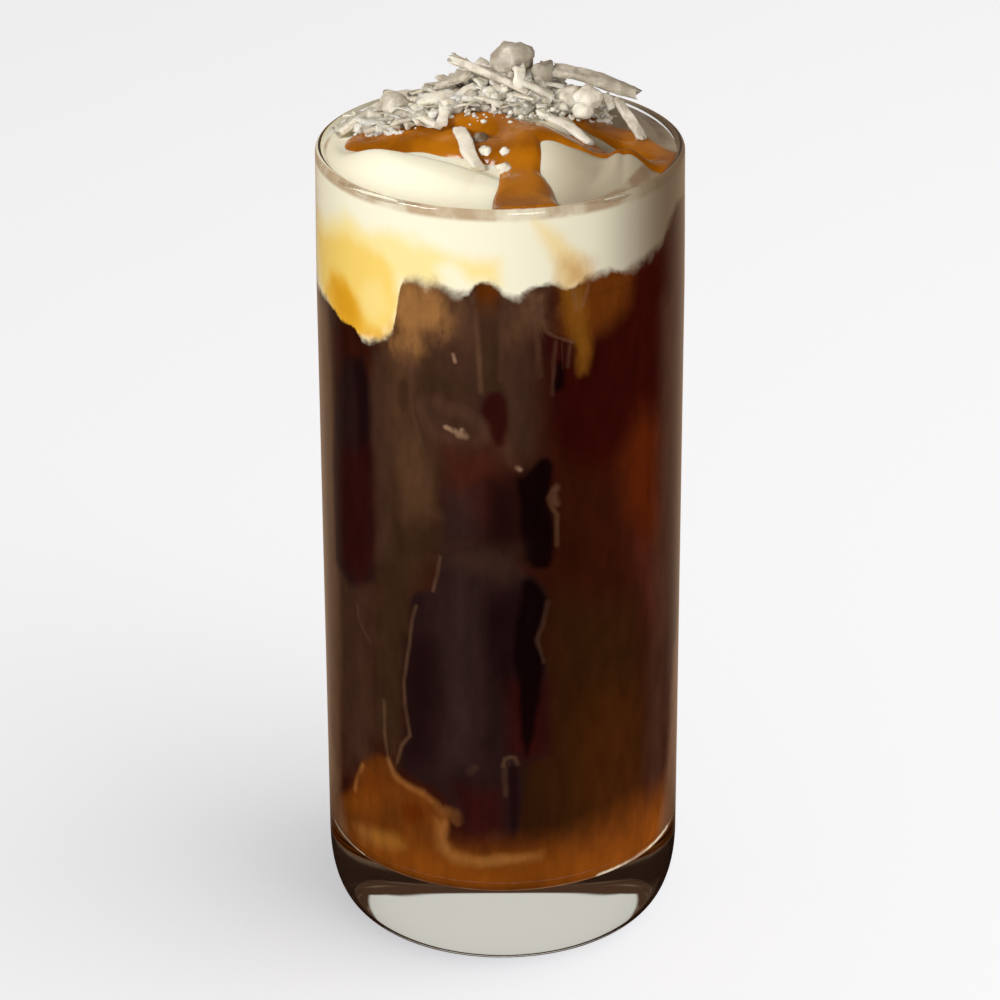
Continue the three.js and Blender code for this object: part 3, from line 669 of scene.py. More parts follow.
# Lines on the wall by colour: their strength, then the half width in millimetres and the points
# (bearing, height) of each
COFFEE_LINES = (
    (CINNAMON, 0.5, (
        (1.35, (
            (-23.5, 114.9), (-20.5, 115.4), (-17.5, 114.1), (-13, 113.8), (-8.5, 112.9), (-5.7, 111.2),
            (-6.1, 109.3), (-8.6, 108.2),
        )),
        (1.08, ((-19.6, 108.7), (-15.6, 108.3), (-11.5, 108.5))),
        (1.22, ((-26.3, 114.1), (-23.6, 110.5), (-20.3, 107.9))),
        (0.54, ((-29.8, 115.2), (-28.8, 111.9), (-26.5, 107.3))),
        (0.54, ((-29.2, 125.2), (-29.4, 117.6), (-29.8, 115.2))),
        (0.94, ((2.1, 106.8), (3.3, 104.5), (5.2, 103.3))),
        (0.47, ((-54.5, 69.9), (-53.6, 66.8), (-50.5, 64.8), (-47.6, 63.6))),
        (0.47, ((0.7, 134.9), (0.3, 130.1), (0, 125.6), (-0.3, 120.2))),
        (0.41, ((22.3, 126.4), (21.6, 124.5), (21.3, 121.9))),
        (0.41, ((17.3, 126.8), (16.7, 123.4), (16.1, 116.8))),
        (0.47, ((14.8, 76.3), (13.2, 72), (11.2, 68.9), (13.5, 64.3))),
        (0.54, ((0.7, 43), (0.7, 40.5), (1, 37.3))),
        (0.81, ((-10.7, 41.9), (-9.1, 42.8))),
        (0.68, ((7.2, 136.7), (8.4, 133.3), (9, 129.5))),
    )),
    (FAWN, 0.45, (
        (0.41, ((-42.1, 52.7), (-42, 45.5), (-40.8, 40.9), (-38, 37.6))),
        (0.38, ((-20, 85), (-21.1, 81.3), (-22.6, 78))),
        (0.41, (
            (-28.7, 74.2), (-30.3, 71.2), (-31.5, 65.9), (-33.7, 58.4), (-33.5, 53.3), (-31.7, 47.3),
            (-34.9, 44.7), (-37, 40.8),
        )),
        (0.46, ((0.1, 43.4), (0.8, 44.8), (2.4, 45.2), (4, 45), (5, 43.7))),
        (0.47, ((16.4, 98.6), (15.1, 97.1), (16.1, 95.1), (17.8, 93.4), (17.8, 87.5))),
        (0.81, ((17.4, 98.7), (16.1, 97.3), (17.4, 95.6))),
        (0.38, ((13.8, 129.1), (17.3, 127.7), (23, 126.3))),
        (0.61, ((10, 135.8), (10.9, 130.4), (11.6, 125.6), (12.2, 120.7))),
        (0.54, ((-9.2, 137.2), (-8, 133.7), (-7.4, 129.6), (-6.8, 124.3), (-6.3, 117.9))),
        (0.55, ((12.5, 135.7), (12.5, 131.6), (13.8, 129.1))),
        (0.5, ((22.9, 138.7), (23.2, 135.5), (24.3, 132.4))),
        (0.45, ((28.7, 139.2), (28, 135.9), (26.3, 132.8))),
    )),
    (HONEY, 0.6, (
        (0.81, ((-40.8, 40.4), (-38, 37.6), (-32.8, 36.4), (-27.1, 35.8), (-22.8, 34.3), (-20, 32.3))),
        (1.22, ((-19, 32.8), (-15.9, 32.5), (-15.6, 31.6))),
        (0.68, ((-19, 30.7), (-20.1, 27.6), (-18.8, 24.8))),
        (0.54, ((-58.1, 30), (-56.1, 33.8), (-53.1, 36.6))),
    )),
    (PALE, 0.85, (
        (0.47, ((-17.6, 110.6), (-16.3, 110.3))),
        (0.54, ((-14.3, 109.9), (-13, 109.4), (-11.1, 109.1))),
        (0.41, ((-12.4, 110.4), (-13.7, 109.2))),
        (0.41, ((4.9, 103.3), (5.8, 102.9))),
        (0.34, ((-15.1, 124.7), (-14.4, 123.3))),
        # Painted highlight: a thin pale line along the drink's bottom edge
        (0.22, (
            (-85, 18.7), (-80, 18.1), (-75, 17.8), (-60, 17.1), (-40, 16.75), (-20, 16.6), (0, 16.55),
            (20, 16.6), (40, 16.75), (60, 17.1), (75, 17.8), (80, 18.1), (85, 18.7),
        )),
    )),
    # Painted highlight: the pale glint along the drink's bottom edge, widest on the right
    (CREAM, 0.85, (
        (0.45, ((34, 16.8), (46, 16.95), (60, 17.2), (72, 17.7))),
        (0.26, ((-78, 18), (-66, 17.4), (-54, 17))),
    )),
)

# The ragged edge of the foam: bearing, and height above its smooth underside
FOAM_FRINGE = (
    (-71.7, 1.5), (-65.1, 0.5), (-58.6, -0.7), (-51, 0), (-43.6, 0), (-38.2, -1.5), (-35, -1.9),
    (-33.7, 1.2), (-32.5, 3.2), (-28.5, 1.9), (-24, 0.6), (-20.3, 0.7), (-17.1, 0.1), (-14.5, -0.6),
    (-12, -1.2), (-10.1, -0.8), (-8.9, 0.2), (-7.9, 1.2), (-6.4, 1.6), (-2.7, 1.6), (-0.8, 0.9),
    (0.4, -0.2), (2.2, -1), (4.1, -1.4), (6.3, -0.9), (8.1, -0.2), (10.6, 0.3), (13.8, 0.6), (16.3, 0.7),
    (18.6, -0.1), (20.9, -1.3), (22.9, -0.7), (24.9, -0.2), (27.7, 0.3), (30.9, 0.6), (36.1, 0.5),
    (42.1, -0.1), (45.1, -0.2), (47.8, 0.4), (51.7, 1), (56.5, 1.2), (60, 1.5),
)

FOAM_SHAPES = (
    (CREAM_YELLOW, 1.5, 1.5, 0.9, (
        (-83, 140.7), (-56.6, 145), (-32.6, 145.3), (-22.2, 143.7), (-0.2, 142.4), (-0.2, 138.3),
        (-19, 137.6), (-32.8, 136.7), (-33.7, 131.3), (-37.8, 125.8), (-52.6, 123.4), (-73, 126.1),
        (-89, 130.2),
    )),
    (CREAM_AMBER, 1.2, 1.2, 0.9, (
        (-80, 137.6), (-56.9, 141.6), (-43.7, 141.5), (-35.8, 138.6), (-34.1, 133.1), (-36.1, 128.2),
        (-43.2, 124.6), (-54.1, 123.5), (-65, 125.5), (-76, 128.3),
    )),
    (CREAM_GOLD, 1.2, 1.2, 0.9, (
        (-68, 133), (-59.2, 133.6), (-53.6, 132), (-49.7, 129.6), (-47.1, 126.5), (-38.9, 126.4),
        (-36.1, 128.7), (-34.6, 128.2), (-38.6, 125.3), (-45.4, 123.7), (-55.2, 122.9), (-64, 124.8),
        (-72, 127.9),
    )),
    (CREAM_DEEP, 1.6, 1.4, 0.6, (
        (-65, 130.9), (-58.1, 131.9), (-52.7, 130.2), (-49.8, 127.3), (-54, 125.4), (-61, 126.3),
    )),
    (CREAM_YELLOW, 1.4, 1.4, 0.6, (
        (-46.7, 134.7), (-41.5, 135.1), (-38.3, 133), (-37.6, 130.4), (-42.6, 127.8), (-47.9, 128.8),
        (-49.6, 131.5),
    )),
    (CREAM, 1, 1, 0.8, (
        (-19.6, 140.6), (-15.1, 142), (-11, 140.3), (-9.5, 137), (-14.2, 136.4), (-17.7, 137.7),
    )),
    (CREAM, 1, 1, 0.7, ((1.4, 143.7), (13.8, 144.2), (16, 140), (10.6, 138), (2.2, 138.3))),
    (CREAM_AMBER, 1.2, 1.2, 0.55, (
        (10.9, 149.5), (18.5, 146.5), (26.6, 141.7), (28.7, 136.4), (18.6, 136.4), (17.3, 141.2),
        (13.8, 145.1),
    )),
    (CREAM_BROWN, 2.2, 2.5, 0.6, ((19.2, 141.6), (26.9, 140.9), (28, 136.5), (20.2, 136.7))),
)


def on_wall(bearing, height, points):
    """Places and points on the unrolled wall, in millimetres, measured from the middle of the points."""
    middle = sum(point[0] for point in points) / len(points)
    across = np.radians((bearing - middle + 180) % 360 - 180) * BORE_RADIUS
    return across, height, [(math.radians(turn - middle) * BORE_RADIUS, level) for turn, level in points]


def from_edge(x, y, start, end):
    """How far places lie from the nearest point of a straight edge, across and up."""
    dx, dy = end[0] - start[0], end[1] - start[1]
    share = np.clip(((x - start[0]) * dx + (y - start[1]) * dy) / (dx * dx + dy * dy), 0, 1)
    return x - start[0] - share * dx, y - start[1] - share * dy


def outline_depth(bearing, height, corners):
    """How deep places lie inside an outline, in millimetres, and negative outside it."""
    x, y, corners = on_wall(bearing, height, corners)
    away = np.full(x.shape, FAR_AWAY)
    inside = np.zeros(x.shape, bool)
    for (ax, ay), (bx, by) in zip(corners, corners[1:] + corners[:1]):
        away = np.minimum(away, np.hypot(*from_edge(x, y, (ax, ay), (bx, by))))
        if by != ay:
            inside ^= ((ay > y) != (by > y)) & (x < (y - ay) * (bx - ax) / (by - ay) + ax)
    return np.where(inside, away, -away)


def line_offsets(bearing, height, lines):
    """Offset from the nearest line as shares of its half width, and the distance to it in millimetres."""
    nearest = np.full(bearing.shape, FAR_AWAY)
    offsets = np.full((len(bearing), 3), 9.0)
    for half_width, points in lines:
        x, y, points = on_wall(bearing, height, points)
        for start, end in zip(points, points[1:]):
            off_x, off_y = from_edge(x, y, start, end)
            away = np.hypot(off_x, off_y)
            closer = away < nearest
            nearest = np.where(closer, away, nearest)
            found = np.stack([off_x / half_width, off_y / half_width, away], axis=1)
            offsets[closer] = found[closer]
    return offsets


def record(mesh, name, values, kind="FLOAT"):
    """Keeps a value or a vector for each point of a mesh, for its material to read."""
    stored = mesh.attributes.new(name, kind, "POINT")
    stored.data.foreach_set("value" if kind == "FLOAT" else "vector", values.astype(np.float32).ravel())


def record_places(piece, prefix, shapes, lines=()):
    """Records how a piece's points lie to the outlines and lines, which show again mirrored on the back."""
    mesh = piece.data
    places = np.empty(len(mesh.vertices) * 3)
    mesh.vertices.foreach_get("co", places)
    x, y, z = places.reshape(-1, 3).T / MM
    bearing = bearing_of(x, y)
    if "above_edge" not in mesh.attributes:
        record(mesh, "above_edge", fringe_height(x, y, z))
    for index, shape in enumerate(shapes):
        front, back = outline_depth(bearing, z, shape[-1]), outline_depth(180 - bearing, z, shape[-1])
        record(mesh, f"{prefix}_{index}", np.maximum(front, back))
    for index, (_, _, same_colour) in enumerate(lines):
        front, back = line_offsets(bearing, z, same_colour), line_offsets(180 - bearing, z, same_colour)
        nearer = np.where((front[:, 2] < back[:, 2])[:, None], front, back)
        record(mesh, f"{prefix}_line_{index}", nearer, "FLOAT_VECTOR")


def fringe_height(x, y, z):
    """Height above the ragged lower edge of the foam, in millimetres."""
    bearing = bearing_of(x, y)
    turns, offsets = zip((-90, 0), *FOAM_FRINGE, (90, 0))
    ragged = np.interp(bearing, turns, offsets) + np.interp((360 - bearing) % 360 - 180, turns, offsets)
    return z - foam_underside(x, y) - ragged


def painted(tree, ground, prefix, shapes, lines=()):
    """The ground colour with every outline and line laid over it in turn, their edges made wavy by noise."""
    flow = stretched(tree, place_in(tree), (1, 1, 0.55))
    broad = calc(tree, "SUBTRACT", cloud(tree, flow, BROAD_WAVES, roughness=0.6), 0.5)
    fine = calc(tree, "SUBTRACT", cloud(tree, flow, FINE_WAVES, roughness=0.6), 0.5)
    waves = calc(tree, "ADD", calc(tree, "MULTIPLY", broad, 3), fine)
    for index, (colour, softness, waviness, strength, _) in enumerate(shapes):
        depth = calc(tree, "MULTIPLY_ADD", waves, waviness, stored_value(tree, f"{prefix}_{index}"))
        blur = EDGE_BLUR * softness
        ground = mixed(tree, ramped(tree, depth, -blur, blur, 0, strength), ground, colour)
    for index, (colour, strength, _) in enumerate(lines):
        across, up, away = parts_of(tree, stored_value(tree, f"{prefix}_line_{index}", "Vector"))
        reach = calc(tree, "SQRT", calc(tree, "MULTIPLY_ADD", across, across, calc(tree, "MULTIPLY", up, up)))
        reach = calc(tree, "ADD", reach, calc(tree, "MULTIPLY_ADD", fine, 1.2, broad))
        near = calc(tree, "MULTIPLY", ramped(tree, reach, LINE_REACH, 0), ramped(tree, away, *LINE_LIMIT))
        faded = ramped(tree, broad, -0.25, 0.15, LINE_FAINT * strength, LINE_CLEAR * strength)
        ground = mixed(tree, calc(tree, "MULTIPLY", near, faded), ground, colour)
    return ground


def new_material(name):
    """A material with an empty tree, its Principled shader and its output."""
    material = bpy.data.materials.new(name)
    material.use_nodes = True
    tree = material.node_tree
    return material, tree, tree.nodes["Principled BSDF"], tree.nodes["Material Output"]


def bumps(tree, height, strength, distance):
    """The socket of a bumpy normal, with the bumps' depth in metres."""
    inputs = {"Height": height, "Strength": strength, "Distance": distance}
    return node(tree, "ShaderNodeBump", inputs).outputs[0]


def either(tree, factor, first, second):
    """The socket of a mix of two shaders."""
    return node(tree, "ShaderNodeMixShader", {0: factor, 1: first, 2: second}).outputs[0]


def make_coffee_group():
    """The colour of the drink by its place on the wall: coffee with ice, milk and caramel."""
    tree = bpy.data.node_groups.new(COFFEE_GROUP, "ShaderNodeTree")
    tree.interface.new_socket("Color", in_out="OUTPUT", socket_type="NodeSocketColor")
    place = place_in(tree)
    across, _, up = parts_of(tree, place)
    ground = painted(tree, COFFEE, "coffee", COFFEE_SHAPES, COFFEE_LINES)
    mottle = cloud(tree, stretched(tree, place, (1000, 1000, 380)), 0.35, detail=6, roughness=0.6)
    shade = ramped(tree, mottle, 0.3, 0.7, 0.8, 1.2, smoothly=False)
    # Painted light: the coffee's colours grow brighter towards the right and towards the bottom
    painted_light = ramped(tree, across, *PAINTED_LIGHT_TO_THE_RIGHT, 0.95, 2.1, smoothly=False)
    painted_light = calc(tree, "MULTIPLY", painted_light, ramped(tree, up, *PAINTED_LIGHT_DOWNWARDS, 1, 1.2))
    toned = node(tree, "ShaderNodeVectorMath", {0: ground}, operation="SCALE")
    set_inputs(tree, toned, {"Scale": calc(tree, "MULTIPLY", shade, painted_light)})
    # Painted light: the drink's underside is painted a lit grey-brown with pale streaks
    streaks = ramped(tree, cloud(tree, stretched(tree, place, (30, 220, 220)), 1), 0.5, 0.68)
    underside_painted = mixed(tree, streaks, UNDERSIDE_PAINTED_LIGHT, UNDERSIDE_PAINTED_STREAKS)
    whole = mixed(tree, ramped(tree, up, *UNDERSIDE_PAINTED_BELOW), toned.outputs[0], underside_painted)
    node(tree, "NodeGroupOutput", {"Color": whole})


def make_wall_material(name):
    """The drink and the foam where they touch the glass, so without shine."""
    material, tree, shader, _ = new_material(name)
    place = place_in(tree)
    across, _, up = parts_of(tree, place)
    ragged = calc(tree, "SUBTRACT", cloud(tree, place, 420, detail=4, roughness=0.6), 0.5)
    above = calc(tree, "MULTIPLY_ADD", ragged, 3.2, stored_value(tree, "above_edge"))
    softness = ramped(tree, cloud(tree, place, 90), 0.4, 0.65, 0.35, 1.9)
    share = ramped(tree, calc(tree, "DIVIDE", above, softness), -1, 1.2)
    patchy = ramped(tree, cloud(tree, place, 190), 0.35, 0.62, 0.25, 0.85)
    # A browner band at the top of the foam where it meets the glass
    rim_band = calc(tree, "MULTIPLY", ramped(tree, up, *RIM_BAND_ABOVE), patchy)
    foam = mixed(tree, rim_band, painted(tree, CREAM, "foam", FOAM_SHAPES), FOAM_RIM)
    # Painted shade: the foam at the glass darkens towards the right
    foam = mixed(tree, ramped(tree, across, *WALL_SHADE_TO_THE_RIGHT, 0, 0.95), foam, FOAM_WALL_PAINTED_SHADE)
    drink = node(tree, "ShaderNodeGroup", node_tree=bpy.data.node_groups[COFFEE_GROUP]).outputs[0]
    set_inputs(tree, shader, {"Base Color": mixed(tree, share, drink, foam), "Roughness": 0.5, SHINE: 0})
    return material


def make_foam_material(name):
    """Smooth cold foam, with painted shade towards the right and a browner ring at the rim."""
    material, tree, shader, _ = new_material(name)
    place = place_in(tree)
    along = parts_of(tree, place)[0]
    on_plan = node(tree, "ShaderNodeVectorMath", {0: place, 1: (1, 1, 0)}, operation="MULTIPLY").outputs[0]
    reach = node(tree, "ShaderNodeVectorMath", {0: on_plan}, operation="LENGTH").outputs["Value"]
    # Painted shade: the foam's top turns browner towards the right
    shaded = mixed(tree, ramped(tree, along, *SHADED_SIDE, 0, 0.9), CREAM, FOAM_SHADED)
    # Painted shade: the rim ring grows darker and wider towards the right
    right = ramped(tree, along, *RIM_SHADE_TO_THE_RIGHT)
    inset = calc(tree, "MULTIPLY_ADD", right, RIM_SHADE_WIDER, reach)
    patchy = ramped(tree, cloud(tree, place, 160), 0.35, 0.6, 0.15, 0.8)
    rim = calc(tree, "MULTIPLY", ramped(tree, inset, *RIM_BAND_REACH), patchy)
    set_inputs(tree, shader, {
        "Base Color": mixed(tree, rim, shaded, mixed(tree, right, FOAM_RIM, FOAM_RIM_PAINTED_SHADE)),
        "Normal": bumps(tree, cloud(tree, place, 900), 0.06, 0.0003),
        "Roughness": 0.42,
        SHINE: 0.35,
        "Subsurface Weight": 0.35,
        "Subsurface Radius": (0.004, 0.003, 0.0018),
        "Subsurface Scale": 1,
    })
    return material


def make_caramel_material(name):
    """Thick glossy caramel that light enters a little way."""
    material, tree, shader, _ = new_material(name)
    tone = ramped(tree, cloud(tree, place_in(tree), 120), 0.35, 0.65)
    set_inputs(tree, shader, {
        "Base Color": mixed(tree, tone, SAUCE, SAUCE_DARK),
        "Roughness": 0.14,
        "IOR": 1.48,
        "Subsurface Weight": 0.15,
        "Subsurface Radius": (0.0012, 0.0007, 0.0002),
        "Subsurface Scale": 1,
    })
    return material


def make_coconut_material(name):
    """Shredded coconut: pale pieces that light enters, some of them greyer, with a grainy surface."""
    material, tree, shader, _ = new_material(name)
    place = place_in(tree)
    patchy = calc(tree, "SUBTRACT", cloud(tree, place, 420, detail=5, roughness=0.65), 0.5)
    # Each piece's tone, partly its own and partly painted shade, varied by noise
    pale = calc(tree, "MULTIPLY_ADD", patchy, 1.7, stored_value(tree, "tone"))
    colour = mixed(tree, ramped(tree, pale, -0.4, 0.2), COCONUT_BROWN, COCONUT_GREY)
    grain = cloud(tree, place, 1900, detail=4, roughness=0.65)
    set_inputs(tree, shader, {
        "Base Color": mixed(tree, ramped(tree, pale, 0.2, 1), colour, COCONUT_PALE),
        "Normal": bumps(tree, grain, 0.6, 0.0002),
        "Roughness": 0.45,
        "Subsurface Weight": 0.5,
        "Subsurface Radius": (0.0013, 0.0011, 0.0008),
        "Subsurface Scale": 1,
    })
    return material


def make_glass_material(name, tint):
    """Clear glass that bends light. Light on its way from a lamp goes straight through it."""
    material, tree, shader, out = new_material(name)
    set_inputs(tree, shader, {"Base Color": (*tint, 1), "Roughness": 0, "IOR": 1.5, "Transmission Weight": 1})
    clear = node(tree, "ShaderNodeBsdfTransparent", {"Color": (0.93, 0.93, 0.93, 1)}).outputs[0]
    ray = node(tree, "ShaderNodeLightPath").outputs
    lamp_or_bounce = calc(tree, "MAXIMUM", ray["Is Shadow Ray"], ray["Is Diffuse Ray"])
    set_inputs(tree, out, {"Surface": either(tree, lamp_or_bounce, shader.outputs[0], clear)})
    return material


# What the glass reflects at its sides, and what shows through its base: a pale backdrop in a dark room
REFLECTED_ROOM = linear(166, 140, 116)
REFLECTED_FRONT = linear(18, 9, 7)
ROOM_THROUGH_GLASS = linear(212, 209, 200)
DARK_ROOM = linear(72, 50, 36)
STREAKS = linear(142, 120, 98)
BACKDROP_TOP = math.sin(math.radians(32.8))
BACKDROP_FOOT = math.sin(math.radians(15))
BACKDROP_SPREAD = math.radians(45)
AMBIENT_TINT = (1, 0.86, 0.7)


def make_floor_material(name, settings):
    """A pale floor that takes soft shadows, bright to look at and dim in reflections."""
    material, tree, shader, out = new_material(name)
    set_inputs(tree, shader, {"Base Color": (*settings.floor_colour, 1), "Roughness": 1, SHINE: 0})
    ray = node(tree, "ShaderNodeLightPath").outputs
    seen = calc(tree, "MAXIMUM", ray["Is Camera Ray"], ray["Is Transmission Ray"])
    mirrored = calc(tree, "SUBTRACT", ray["Is Glossy Ray"], ray["Is Transmission Ray"])
    glow = node(tree, "ShaderNodeEmission", {"Color": (0.88, 0.93, 1, 1), "Strength": settings.floor_glow})
    bright = node(tree, "ShaderNodeAddShader", {0: shader.outputs[0], 1: glow.outputs[0]}).outputs[0]
    way = node(tree, "ShaderNodeVectorMath", {0: place_in(tree)}, operation="NORMALIZE").outputs[0]
    to_back = ramped(tree, parts_of(tree, way)[1], 0.3, 0.95)
    room = node(tree, "ShaderNodeEmission", {"Color": mixed(tree, to_back, REFLECTED_FRONT, REFLECTED_ROOM)})
    dim = either(tree, mirrored, shader.outputs[0], room.outputs[0])
    set_inputs(tree, out, {"Surface": either(tree, seen, dim, bright)})
    return material


def noisy(point, scale, seed):
    """A steady value from -1 to 1 at a point."""
    x, y, z = (part * scale for part in point)
    return noise.noise(Vector((x + seed * 17.3, y - seed * 5.1, z)))


def tone_layer(bm):
    """The layer that holds how pale each piece of coconut is."""
    return bm.verts.layers.float.get("tone") or bm.verts.layers.float.new("tone")


def kept_under_top(bm):
    """No piece of coconut stands above the model it dresses."""
    for vert in bm.verts:
        vert.co.z = min(vert.co.z, CAD_BOX[1][2])


def add_shred(bm, start, end, width, bow, tone, seed, rings=16, sides=10):
    """A strip of coconut between two points in millimetres: squared, flat, bowed, ragged, with torn ends."""
    tones = tone_layer(bm)
    start, end = Vector(start), Vector(end)
    middle = start.lerp(end, 0.5) + Vector((0, 0, 2 * bow))
    length = (end - start).length
    made = bmesh.ops.create_grid(bm, x_segments=rings, y_segments=sides, size=0.5)["verts"]
    for vert in made:
        along, turn = vert.co.x + 0.5, 2 * math.pi * (vert.co.y + 0.5)
        near, far = start.lerp(middle, along), middle.lerp(end, along)
        centre, tangent = near.lerp(far, along), (far - near).normalized()
        side = tangent.cross(Vector((0, 0, 1))).normalized()
        up = side.cross(tangent)
        centre = centre + side * (0.3 * width * noisy((along * 2.2, 0, 0), 1.0, seed + 5))
        twist = 0.8 * noisy((along * 1.5, 0, 0), 1.0, seed)
        broad = 1 + 0.2 * noisy((0, along * 2.5, 0), 1.0, seed + 2)
        cos, sin = math.cos(turn), math.sin(turn)
        squared = (cos**4 + sin**4) ** -0.25
        rough = 0.14 * noisy((cos * 3, sin * 3, along * 3), 1.0, seed + 3)
        rough += 0.1 * noisy((cos * width, sin * width, along * length), 0.9, seed + 7)
        reach = width / 2 * squared * (broad + rough)
        across, rise = reach * cos, 0.5 * reach * sin
        turned = across * math.cos(twist) - rise * math.sin(twist)
        lifted = across * math.sin(twist) + rise * math.cos(twist)
        torn = 0
        if abs(along - 0.5) > 0.499:
            torn = 0.45 * width * noisy((cos * 2, sin * 2, along), 1, seed + 9)
        vert.co = (centre + side * turned + up * lifted + tangent * torn) * MM
        vert[tones] = tone
    bmesh.ops.remove_doubles(bm, verts=made, dist=MERGE_DISTANCE)
    left = [vert for vert in made if vert.is_valid]
    ends = list({edge for vert in left for edge in vert.link_edges if edge.is_boundary})
    bmesh.ops.holes_fill(bm, edges=ends)


def add_flake(bm, place, size, tilt, tone, seed, sides=11):
    """A thin curled flake of coconut with a torn outline, size being its half length in millimetres."""
    tones = tone_layer(bm)
    made = bmesh.ops.create_circle(bm, cap_ends=True, cap_tris=True, segments=sides, radius=1)["verts"]
    faces = list({face for vert in made for face in vert.link_faces})
    grown = bmesh.ops.extrude_face_region(bm, geom=faces)["geom"]
    upper = {item for item in grown if isinstance(item, bmesh.types.BMVert)}
    slope = Euler(tilt, "ZYX").to_matrix()
    narrow = 0.5 + 0.35 * abs(noisy((1, 2, 3), 1.0, seed))
    for vert in {*made, *upper}:
        flat = Vector((vert.co.x, vert.co.y, 0))
        torn = 1 + 0.55 * noisy(flat, 2.3, seed)
        x, y = flat.x * torn, flat.y * torn * narrow
        curl = 0.3 * x * x - 0.25 * y * y + 0.3 * noisy((x, y, 0), 1.6, seed + 4)
        thick = 0.22 if vert in upper else 0
        local = Vector((x * size, y * size, (curl + 0.1) * size + thick))
        vert.co = (Vector(place) + slope @ local) * MM
        vert[tones] = tone


def add_lump(bm, place, size, tone, seed, subdivisions=3, squash=0.78, depth=0.35):
    """A rough lump or crumb of coconut, size being its radius in millimetres."""
    tones = tone_layer(bm)
    made = bmesh.ops.create_icosphere(bm, subdivisions=subdivisions, radius=1)["verts"]
    turned = Matrix.Rotation(seed * 1.7, 3, "X") @ Matrix.Rotation(seed * 2.9, 3, "Z")
    for vert in made:
        way = vert.co.normalized()
        rough = 1 + depth * noisy(way, 1.3, seed) + 0.45 * depth * noisy(way, 3.1, seed + 1)
        rough += 0.25 * depth * noisy(way, 7.0, seed + 2)
        local = turned @ (way * rough)
        vert.co = (Vector(place) + Vector((local.x, local.y, local.z * squash)) * size) * MM
        vert[tones] = tone


def heap_top(x, y):
    """Height of the top of the coconut heap's core."""
    across, along = (x - HEAP_PLACE[0]) / HEAP_HALF_SIZE[0], (y - HEAP_PLACE[1]) / HEAP_HALF_SIZE[1]
    out = np.minimum(1, np.hypot(across, along))
    return foam_top(x, y) + HEAP_THICKNESS * np.sqrt(1 - 0.9 * out * out)


def heap_places(count, draw, reach=0.97):
    """Seeded places spread over the heap's ellipse, with their heights."""
    turns = np.array([draw.uniform(0, 2 * math.pi) for _ in range(count)])
    shares = np.sqrt(np.array([draw.random() for _ in range(count)])) * reach
    x = HEAP_PLACE[0] + HEAP_HALF_SIZE[0] * shares * np.cos(turns)
    y = HEAP_PLACE[1] + HEAP_HALF_SIZE[1] * shares * np.sin(turns)
    return list(zip(x, y, heap_top(x, y)))


class GlassSettings(bpy.types.PropertyGroup):
    tint: FloatVectorProperty(
        name="Tint", description="Colour of the glass", subtype="COLOR", min=0, max=1,
        default=(0.97, 0.98, 0.97),
    )
    steps: IntProperty(name="Steps", description="Facets round the glass", default=256, min=32)


class ToppingSettings(bpy.types.PropertyGroup):
    sauce_thickness: FloatProperty(
        name="Sauce thickness", description="Height of the caramel above the foam, in mm", default=1.0
    )
    scattered_shreds: IntProperty(name="Scattered shreds", description="Shreds by the draw", default=130)
    flakes: IntProperty(name="Flakes", description="Flakes placed by the draw", default=80)
    bits: IntProperty(name="Bits", description="Small lumps placed by the draw", default=330)
    crumbs: IntProperty(name="Crumbs", description="Crumbs placed by the draw", default=620)
    front_crumbs: IntProperty(name="Front crumbs", description="Crumbs strewn before the heap", default=160)
    seed: IntProperty(name="Seed", description="Start of the seeded draw", default=11)


class StageSettings(bpy.types.PropertyGroup):
    floor_colour: FloatVectorProperty(
        name="Floor", description="Colour of the floor", subtype="COLOR", min=0, max=1,
        default=(0.81, 0.81, 0.83),
    )
    floor_glow: FloatProperty(name="Floor glow", description="Light added to the floor", default=0.45)
    key_power: FloatProperty(name="Key light", description="Power of the key light in watts", default=11.0)
    fill_power: FloatProperty(name="Fill light", description="Power of the front light in watts", default=6.6)
    floor_light: FloatProperty(name="Floor light", description="Power of its own light", default=17.5)
    ambient: FloatProperty(name="Ambient", description="Strength of the studio's even light", default=0.28)


class DRINK_OT_glass(bpy.types.Operator):
    """Spins the clear tumbler"""

    bl_idname = "drink.glass"
    bl_label = "Glass"

    def execute(self, context):
        settings = context.scene.drink_glass
        profile = [(0, HOLLOW_DEPTH), (HOLLOW_FLAT_RADIUS, HOLLOW_DEPTH), (HOLLOW_RADIUS, 0)]
        for turn in np.radians(np.linspace(-90, 0, BASE_CORNER_STEPS + 1)):
            out, down = np.abs((math.cos(turn), math.sin(turn))) ** (2 / BASE_CORNER_SQUARENESS)
            radius = FOOT_RADIUS + (GLASS_RADIUS - FOOT_RADIUS) * out
            profile.append((radius, BASE_CORNER_HEIGHT * (1 - down)))
        profile += [(GLASS_RADIUS - inside, height) for height, inside in WALL_RINGS]
        rim, corner = (RIM_RADIUS - BORE_RADIUS) / 2, INSIDE_CORNER_RADIUS
        profile += arc(RIM_RADIUS - rim, GLASS_HEIGHT - rim, rim, 0, 180, RIM_STEPS)
        profile += arc(BORE_RADIUS - corner, BASE_THICKNESS + corner, corner, 0, -90, CORNER_STEPS)
        profile += [(radius, BASE_THICKNESS) for radius in FLOOR_RING_RADII]
        material = make_glass_material("Clear glass", settings.tint)
        finished("tumbler", spun(profile, settings.steps), material, ["glass"], crisp=15)
        return {"FINISHED"}


